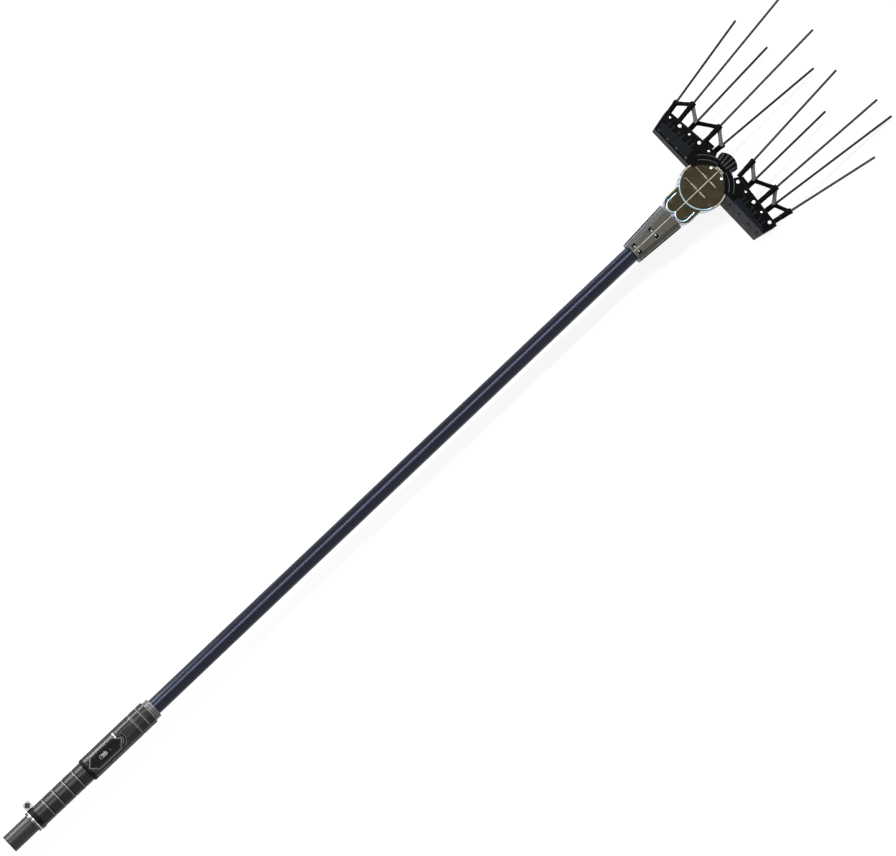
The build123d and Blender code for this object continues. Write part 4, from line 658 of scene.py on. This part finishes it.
for name, inset, wide, coat in EDGE_TRIM:
    bm = bmesh.new()
    for side in (1, -1):
        for face in (1, -1):
            ends = [(HEAD_X - back, side * (half - inset), face * (top - NECK_CHAMFER + inset))
                    for back, half, top in trim_ends]
            bar(bm, *ends, (0, side, face), wide, TRIM_HIGH, TRIM_ROUND)
    piece(name, bm, FIXED, [coat])

# Cap screws and hexagon nuts of the neck, either side of the web between its pockets
NECK_WEB_HALF = 4
NECK_SCREW = (3.0, 3.5, 1.75, 12.5)
NECK_NUT_R, NECK_NUT_H, NECK_NUT_BORE = 3.4, 3, 1.8
bm = bmesh.new()
for back, height in NECK_BOLTS:
    for z in (height, -height):
        bolt(bm, (HEAD_X - back, -NECK_WEB_HALF, z), (0, -1, 0), *NECK_SCREW)
        stacked(bm, ((NECK_NUT_R, 0, HEXAGON), (NECK_NUT_R, NECK_NUT_H, HEXAGON),
                     (NECK_NUT_BORE, NECK_NUT_H), (NECK_NUT_BORE, 0)),
                (HEAD_X - back, NECK_WEB_HALF, z), (0, 1, 0), True)
piece("neck_cap_screws", bm, FIXED, ["clamp_steel"], ["neck_fasteners"])

# Gearbox: a bronze cover on a polished base, with a rim whose inner line is painted as a chrome reflection
# only at the rear, and painted shade in its outer groove
PAINTED_REFLECTION_FROM = 110.0
DRUM_R, RIM_GROOVE, RIM_INNER = 50.0, 48.9, 46.45
RIM_FOOT, RIM_STEP = 20.0, 21.2
COVER_TOP, LOBE_TOP, RIB_TOP = 22.0, 26.0, 23.2


def rim_coat(spot, normal):
    """Painted shade in the outer groove, and an inner line painted as a chrome reflection at the rear."""
    if hypot(spot.x - HEAD_X, spot.y) > RIM_GROOVE:
        return 2
    return int(abs(degrees(atan2(spot.y, spot.x - HEAD_X))) > PAINTED_REFLECTION_FROM)


softened("gearbox_cover", 0.3, 0.9, FIXED, ["cover_alloy"])
softened("gearbox_base", 0.5, 2.0, FIXED, ["base_alloy"])
bm = spun(((RIM_FOOT, RIM_INNER), (RIM_FOOT, DRUM_R), (RIM_STEP, DRUM_R), (RIM_STEP, RIM_GROOVE),
           (COVER_TOP, RIM_GROOVE), (COVER_TOP, RIM_INNER)), 120)
round_off(bm, sharp_edges(bm), 0.3)
bmesh.ops.rotate(bm, verts=bm.verts, cent=(0, 0, 0), matrix=Matrix.Rotation(-pi / 2, 3, "Y"))
bmesh.ops.translate(bm, verts=bm.verts, vec=(HEAD_X, 0, 0))
piece("cover_rim_ring", bm, FIXED, ["pale_alloy_and_highlight", "bright_steel", "painted_shade_navy"],
      ["cover_rim"], rim_coat)

# Raised lines on the cover, painted pale as highlights: the spine in lengths, each with its ends, the
# surface under it, its rise and its rounding; then two cross ribs, a thin line on from the left end of each,
# and two arcs near the nose
SPINE_HALF = 0.8
SPINE = ((-75, -49, LOBE_TOP, 0.9, FINE_ROUND), (-50, -37, COVER_TOP, 0.9, FINE_ROUND),
         (-38, 38, RIB_TOP, 0.3, THIN_ROUND), (37, 46, COVER_TOP, 0.9, FINE_ROUND))
CROSS_RIBS = (-14, 16)
CROSS_HALF, CROSS_RISE, CROSS_SPANS = 1.1, 0.4, ((-19.6, -4), (4, 19.6))
THIN_HALF, THIN_RISE, THIN_SPAN = 0.6, 0.5, (20.5, 37)
ARC_INNER, ARC_OUTER, ARC_RISE = 43.0, 44.8, 0.6
ARC_STARTS, ARC_SWEEP = (5, -19), 14
bm = bmesh.new()
for start, stop, top, rise, width in SPINE:
    block(bm, (HEAD_X + start, -SPINE_HALF, top - SINK), (HEAD_X + stop, SPINE_HALF, top + rise), width)
for ahead in CROSS_RIBS:
    x = HEAD_X + ahead
    for low, high in CROSS_SPANS:
        block(bm, (x - CROSS_HALF, low, RIB_TOP - SINK), (x + CROSS_HALF, high, RIB_TOP + CROSS_RISE))
    low, high = THIN_SPAN
    block(bm, (x - THIN_HALF, low, COVER_TOP - SINK), (x + THIN_HALF, high, COVER_TOP + THIN_RISE),
          THIN_ROUND)
for start in ARC_STARTS:
    arc_rib(bm, ARC_INNER, ARC_OUTER, COVER_TOP - SINK, COVER_TOP + ARC_RISE, start, start + ARC_SWEEP,
            (HEAD_X, 0))
piece("cover_rib_lines", bm, FIXED, ["pale_alloy_and_highlight"])

# Painted shade: a dark ring round each lobe, and inside it one chrome bead in the shape of two joined arcs
LOBE_BACK, LOBE_OFFSET, LOBE_R = 69.0, 16.0, 17.0
SHADE_RING_IN, SHADE_RING_OUT, SHADE_RING_RISE = 3.2, 0.2, 0.3
SHADE_RING_STARTS, SHADE_RING_SWEEP = ((LOBE_OFFSET, 80), (-LOBE_OFFSET, 160)), 120
bm = bmesh.new()
for y, start in SHADE_RING_STARTS:
    arc_rib(bm, LOBE_R - SHADE_RING_IN, LOBE_R - SHADE_RING_OUT, LOBE_TOP - SHADE_RING_RISE, LOBE_TOP + SHADE_RING_RISE,
            start, start + SHADE_RING_SWEEP, (HEAD_X - LOBE_BACK, y))
piece("lobe_shade_ring", bm, FIXED, ["painted_shade_navy"])
CHROME_BACK, CHROME_OFFSET, CHROME_BEND = 70.5, 12.5, 14.0
CHROME_START, CHROME_R = -50.5, 1.5
bm = bmesh.new()
made = bmesh.ops.create_circle(bm, segments=12, radius=CHROME_R, matrix=Matrix.Translation(
    (CHROME_START, CHROME_OFFSET + CHROME_BEND, LOBE_TOP)) @ Matrix.Rotation(pi / 2, 4, "Y"))
loop = list({edge for vert in made["verts"] for edge in vert.link_edges})
made = bmesh.ops.extrude_edge_only(bm, edges=loop)["geom"]
pulled = [item for item in made if isinstance(item, bmesh.types.BMVert)]
bmesh.ops.translate(bm, verts=pulled, vec=(-CHROME_BACK - CHROME_START, 0, 0))
turned = [item for item in made
          if isinstance(item, bmesh.types.BMEdge) and set(pulled).issuperset(item.verts)]
bmesh.ops.spin(bm, geom=pulled + turned, cent=(-CHROME_BACK, CHROME_OFFSET, 0), axis=(0, 0, 1),
               angle=pi / 2 + asin(CHROME_OFFSET / CHROME_BEND), steps=28)
bmesh.ops.holes_fill(bm, edges=[edge for edge in bm.edges if edge.is_boundary], sides=0)
bmesh.ops.mirror(bm, geom=bm.verts[:] + bm.edges[:] + bm.faces[:], axis="Y", merge_dist=0)
bmesh.ops.translate(bm, verts=bm.verts, vec=(HEAD_X, 0, 0))
bmesh.ops.recalc_face_normals(bm, faces=bm.faces)
piece("lobe_bead", bm, FIXED, ["bright_steel"])

# Cover screws: four on a circle, the front pair of them bright, and one in each lobe
SCREW_CIRCLE, SCREW_ANGLES = 40, (22, -22, 115, -115)
LOBE_SCREW_Y = 22
COVER_SCREW, COVER_SCREW_LENGTH, LOBE_SCREW_LENGTH = (3, 2, 1.5), 9, 12
bm = bmesh.new()
for angle in SCREW_ANGLES:
    foot = (HEAD_X + SCREW_CIRCLE * cos(radians(angle)), SCREW_CIRCLE * sin(radians(angle)), COVER_TOP)
    bolt(bm, foot, (0, 0, 1), *COVER_SCREW, COVER_SCREW_LENGTH)
for y in (LOBE_SCREW_Y, -LOBE_SCREW_Y):
    bolt(bm, (HEAD_X - LOBE_BACK, y, LOBE_TOP), (0, 0, 1), *COVER_SCREW, LOBE_SCREW_LENGTH)


def screw_coat(spot, normal):
    """Bright ahead of the gearbox axis."""
    return int(spot.x > HEAD_X)


piece("cover_cap_screws", bm, FIXED, ["black_steel", "bolt_steel"], ["cover_screws"],
      screw_coat)

# Nose guard between the combs
NOSE_FIN_TOP = 19.0


def nose_coat(spot, normal):
    """Painted highlight: pale grey on the flat tops of the fins."""
    return int(abs(spot.z) > NOSE_FIN_TOP - SINK and abs(normal.z) > 0.9)


softened("nose_guard", 0.35, 1.5, FIXED, ["comb_plastic", "pale_nylon_painted_light"], nose_coat)

# Combs, drawn as the left one; the right one has its own rods and is turned half a turn about the pole.
# A rod has the x and y of its socket's mouth, from the gearbox axis, and its angle off the pole in degrees.
LEFT_RODS = ((89.5, 158.5, 10.1), (102.8, 132.5, 7.3), (92.6, 101.5, 3.2), (110.0, 63.0, 2.6),
             (97.7, 32.5, -3.1))
RIGHT_RODS = ((95.7, 156.5, 11.2), (92.6, 125.5, 6.3), (108.0, 102.5, 2.5), (97.2, 62.5, -0.4),
              (111.0, 32.5, -4.2))
ROW_HEIGHT, ROW_PITCH = 24.0, 14.0
COMB_HALF = 26.0
COMB_ROOT_X, COMB_ROOT_Y, COMB_SWEEP = 62.6, 58, 0.0985
# Panels: the rear edge on each face, the ends, the set-back from the front edge, and teeth in pairs
PANEL_REARS = ((1, 13.0), (-1, 22.5))
PANEL_NEAR, PANEL_FAR, PANEL_REAR_FAR = 66, 147, 143
PANEL_BACK, PANEL_RISE = 27, 1.1
TOOTH_PAIRS, TOOTH_BEFORE, TOOTH_AFTER = (80, 105.4, 130.8), 6, 4
TOOTH_LENGTH, TOOTH_HALF = 12, 1.6
HUB_RIBS, HUB_RIB_RISE, HUB_ARC = ((51.5, 52.8), (61.3, 62.6)), 1, (13, 58)
BOLT_FAR, BOLT_PITCH, BOLT_BACK = 143.5, 25.4, 8
BOLT_HEAD_R, BOLT_HEAD_H, BOLT_SHANK_R, BOLT_TAIL = 4.1, 2.4, 2.0, 1.4
REAR_ROW, REAR_SCREW_X, REAR_SCREW = (64, 90, 116, 140), 13, (2.5, 1.0, 1.5, 14)
EYELET_X, EYELET_Z = 14.5, -19.5
BRACKET_R, BRACKET_Z, BRACKET_ARC = (60, 71), (15, 25), (22.5, 33)
# Turned shapes, as the radius and the height of each ring; a web sleeve has the same two ends and a waist
WASHER = ((6.2, -0.2), (6.2, 0.7), (5.8, 1.0), (3.4, 1.0), (2.8, -0.2))
EYELET = ((2.5, -0.6), (2.5, 0.3), (2.1, 0.5), (1.3, 0.5), (1.3, -0.6))
ROD_SLEEVE = ((2.6, -26), (5.3, -26), (5.5, -24), (5.5, -9), (6.2, -5), (6.2, -0.8), (5.6, 0.3), (2.6, 0.3))
WEB_END, WEB_WAIST = ((3, 3.5), (5.2, 4), (4.6, 9)), 4.15
WEB_BACK = 5.0


def front_x(y):
    """Front edge of a comb at a distance from the pole."""
    return COMB_ROOT_X - COMB_SWEEP * (y - COMB_ROOT_Y)


def rod_line(index, rods):
    """A rod's socket mouth and direction; the first, third and fifth rods lie in the lower row."""
    x, y, yaw = rods[index]
    row = -1 if index % 2 == 0 else 1
    pitch = radians(row * ROW_PITCH)
    way = Vector((cos(pitch) * cos(radians(yaw)), cos(pitch) * sin(radians(yaw)), sin(pitch)))
    return Vector((x, y, row * ROW_HEIGHT)), way


def comb_piece(name, bm, side, coats, replaced=()):
    """A comb's piece, drawn as the left one about the gearbox axis."""
    if side == "right":
        bmesh.ops.rotate(bm, verts=bm.verts, cent=(0, 0, 0), matrix=Matrix.Rotation(pi, 3, "X"))
    bmesh.ops.translate(bm, verts=bm.verts, vec=(HEAD_X, 0, 0))
    piece(f"{side}_{name}", bm, f"{side}_comb", coats, replaced)


def shell_coat(spot, normal):
    """Painted light: pale grey on the bevel that runs along the rear."""
    return int(-0.9 < normal.x < -0.4 and abs(normal.z) > 0.4 and abs(spot.y) > COMB_ROOT_Y)


for side, rods in (("left", LEFT_RODS), ("right", RIGHT_RODS)):
    for shell in ("cover", "base"):
        softened(f"{side}_comb_{shell}", 0.8, 1.2, f"{side}_comb",
                 ["comb_plastic", "pale_nylon_painted_light"], shell_coat if shell == "base" else None)
    bm = bmesh.new()
    for face, rear in PANEL_REARS:
        outline = [(rear, PANEL_NEAR), (front_x(PANEL_NEAR) - PANEL_BACK, PANEL_NEAR)]
        for middle in TOOTH_PAIRS:
            for y in (middle - TOOTH_BEFORE, middle + TOOTH_AFTER):
                edge = front_x(y) - PANEL_BACK
                tip = edge + TOOTH_LENGTH
                near, far = y - TOOTH_HALF, y + TOOTH_HALF
                outline += [(edge, near), (tip, near), (tip, far), (edge, far)]
        outline += [(front_x(PANEL_FAR) - PANEL_BACK, PANEL_FAR), (rear, PANEL_REAR_FAR)]
        slab(bm, outline, face * (COMB_HALF - SINK), face * (COMB_HALF + PANEL_RISE), 0.4)
    comb_piece("comb_panels", bm, side, ["panel_plastic"])
    # Hub ribs, painted pale as highlights
    bm = bmesh.new()
    for face in (1, -1):
        for inner, outer in HUB_RIBS:
            low, high = sorted((face * (COMB_HALF - SINK), face * (COMB_HALF + HUB_RIB_RISE)))
            arc_rib(bm, inner, outer, low, high, *HUB_ARC)
    comb_piece("hub_ribs", bm, side, ["pale_nylon_painted_light"])
    bolts, washers, screws, eyelets = bmesh.new(), bmesh.new(), bmesh.new(), bmesh.new()
    for index in range(len(rods)):
        y = BOLT_FAR - BOLT_PITCH * index
        x = front_x(y) - BOLT_BACK
        face = -1 if index % 2 == 0 else 1
        dome_bolt(bolts, (x, y, face * COMB_HALF), (0, 0, face), BOLT_HEAD_R, BOLT_HEAD_H, BOLT_SHANK_R,
                  2 * COMB_HALF + BOLT_TAIL)
        stacked(washers, WASHER, (x, y, -face * COMB_HALF), (0, 0, -face), True)
    for y in REAR_ROW:
        bolt(screws, (REAR_SCREW_X, y, COMB_HALF), (0, 0, 1), *REAR_SCREW)
        stacked(eyelets, EYELET, (EYELET_X, y, EYELET_Z), (-1, 0, -1), True)
    comb_piece("comb_bolts", bolts, side, ["bolt_steel"], [f"{side}_comb_fasteners"])
    comb_piece("comb_washers", washers, side, ["comb_plastic"])
    comb_piece("shell_screws", screws, side, ["black_steel"])
    comb_piece("bevel_eyelets", eyelets, side, ["bezel_plastic"])
    lines = [rod_line(index, rods) for index in range(len(rods))]
    bm = bmesh.new()
    for mouth, way in lines:
        stacked(bm, ROD_SLEEVE, mouth, way, True)
    comb_piece("socket_sleeves", bm, side, ["comb_plastic"])
    knots = [mouth - way * WEB_BACK for mouth, way in lines]
    # Every second web sleeve is painted pale, a lit copy of the black nylon of the others
    dull, pale = bmesh.new(), bmesh.new()
    for index, (knot, after) in enumerate(zip(knots, knots[1:])):
        span = after - knot
        far = span.length
        loops = (*WEB_END, (WEB_WAIST, far / 2), *((radius, far - off) for radius, off in reversed(WEB_END)))
        stacked(pale if index % 2 else dull, loops, knot, span)
    comb_piece("dark_web_sleeves", dull, side, ["comb_plastic"])
    comb_piece("lit_web_sleeves", pale, side, ["lit_web_plastic"])
    bm = bmesh.new()
    arc_rib(bm, *BRACKET_R, *BRACKET_Z, *BRACKET_ARC, width=1.2, steps=5)
    comb_piece("root_bracket", bm, side, ["comb_plastic"])

# Camera: high above the handle, which it sees straight on; it sees the gearbox from a little behind
POLE_ANGLE = radians(43.52)
LENS, SENSOR = 172.5, 36.0
CAMERA_AIM = Vector((1.1804, 0.0001, 0))
CAMERA_SPOT = Vector((0.1003, 0.0001, 8.39))
back = (CAMERA_SPOT - CAMERA_AIM).normalized()
across = Vector((0, 1, 0))
along = across.cross(back)
right = along * cos(POLE_ANGLE) - across * sin(POLE_ANGLE)
up = along * sin(POLE_ANGLE) + across * cos(POLE_ANGLE)
eye = bpy.data.cameras.new("camera")
eye.lens = LENS
eye.sensor_width = SENSOR
camera = bpy.data.objects.new("camera", eye)
placed = Matrix((right, up, back)).transposed().to_4x4()
placed.translation = CAMERA_SPOT
camera.matrix_world = placed
bpy.context.scene.collection.objects.link(camera)
bpy.context.scene.camera = camera


def soft_box(name, spot, aim, size, power, colour):
    """A rectangular studio lamp at spot, turned to aim; its long side runs along the pole."""
    lamp = bpy.data.lights.new(name, "AREA")
    lamp.shape = "RECTANGLE"
    lamp.size, lamp.size_y = size
    lamp.energy = power
    lamp.color = linear(colour)[:3]
    made = bpy.data.objects.new(name, lamp)
    outward = (Vector(spot) - Vector(aim)).normalized()
    long_side = Vector((1, 0, 0))
    short_side = outward.cross(long_side).normalized()
    turned = Matrix((long_side, short_side, long_side.cross(short_side))).transposed().to_4x4()
    turned.translation = spot
    made.matrix_world = turned
    made.visible_camera = False
    bpy.context.scene.collection.objects.link(made)


soft_box("key_lamp", (1.45, 0.9, 2.47), (1.45, 0, 0), (3.2, 0.3), 95, "#ffffff")
soft_box("fill_lamp", (1.1, -2.4, 1.6), (1.1, 0, 0), (4.2, 1.6), 10, "#eef3ff")
soft_box("handle_side_lamp", (0.14, 1.3, 0.4), (0.14, 0, 0), (0.6, 0.4), 26, "#ffffff")
soft_box("head_side_lamp", (2.05, 1.3, -0.02), (1.85, 0, 0), (0.5, 0.14), 5, "#d3e3ff")


def background_rays(tree):
    """1 for rays from the camera, from mirrors and through clear pieces, which see white; 0 for others."""
    path = add(tree, "LightPath")
    shown = add(tree, "Math", {0: path.outputs["Is Camera Ray"], 1: path.outputs["Is Glossy Ray"]},
                operation="MAXIMUM")
    shown = add(tree, "Math", {0: shown.outputs["Value"], 1: path.outputs["Is Transmission Ray"]},
                operation="MAXIMUM")
    return shown.outputs["Value"]


# White studio: the world lights softly and shows as white; the pale floor keeps the shadow
WORLD_LIGHT = 0.15
world = bpy.data.worlds.new("studio")
bpy.context.scene.world = world
world.use_nodes = True
sky = world.node_tree
level = add(sky, "MapRange", {"Value": background_rays(sky), "To Min": WORLD_LIGHT, "To Max": 1.0})
sky.nodes["Background"].inputs["Color"].default_value = linear("#ffffff")
sky.links.new(level.outputs["Result"], sky.nodes["Background"].inputs["Strength"])

FLOOR_DROP = 2.0           # millimetres under the part
FLOOR_HALF, FLOOR_MID = 40, 1.1
FLOOR_GLOW = 0.84          # brings the grey paper up to white where the camera sees it
floor_mesh = bpy.data.meshes.new("studio_floor")
bm = bmesh.new()
bmesh.ops.create_grid(bm, x_segments=1, y_segments=1, size=FLOOR_HALF)
bmesh.ops.translate(bm, verts=bm.verts, vec=(FLOOR_MID, 0, cad_box[0][2] - FLOOR_DROP * MM))
bm.to_mesh(floor_mesh)
bm.free()
floor = bpy.data.objects.new("studio_floor", floor_mesh)
bpy.context.scene.collection.objects.link(floor)
paper = bpy.data.materials.new("white_paper_floor")
paper.use_nodes = True
tree = paper.node_tree
sheet = tree.nodes["Principled BSDF"]
sheet.inputs["Base Color"].default_value = linear("#8c8c8c")
sheet.inputs["Roughness"].default_value = 0.9
sheet.inputs["Specular IOR Level"].default_value = 0.0
lift = add(tree, "MapRange", {"Value": background_rays(tree), "To Max": FLOOR_GLOW})
sheet.inputs["Emission Color"].default_value = linear("#ffffff")
tree.links.new(lift.outputs["Result"], sheet.inputs["Emission Strength"])
floor_mesh.materials.append(paper)

bpy.context.scene.view_settings.view_transform = "Standard"
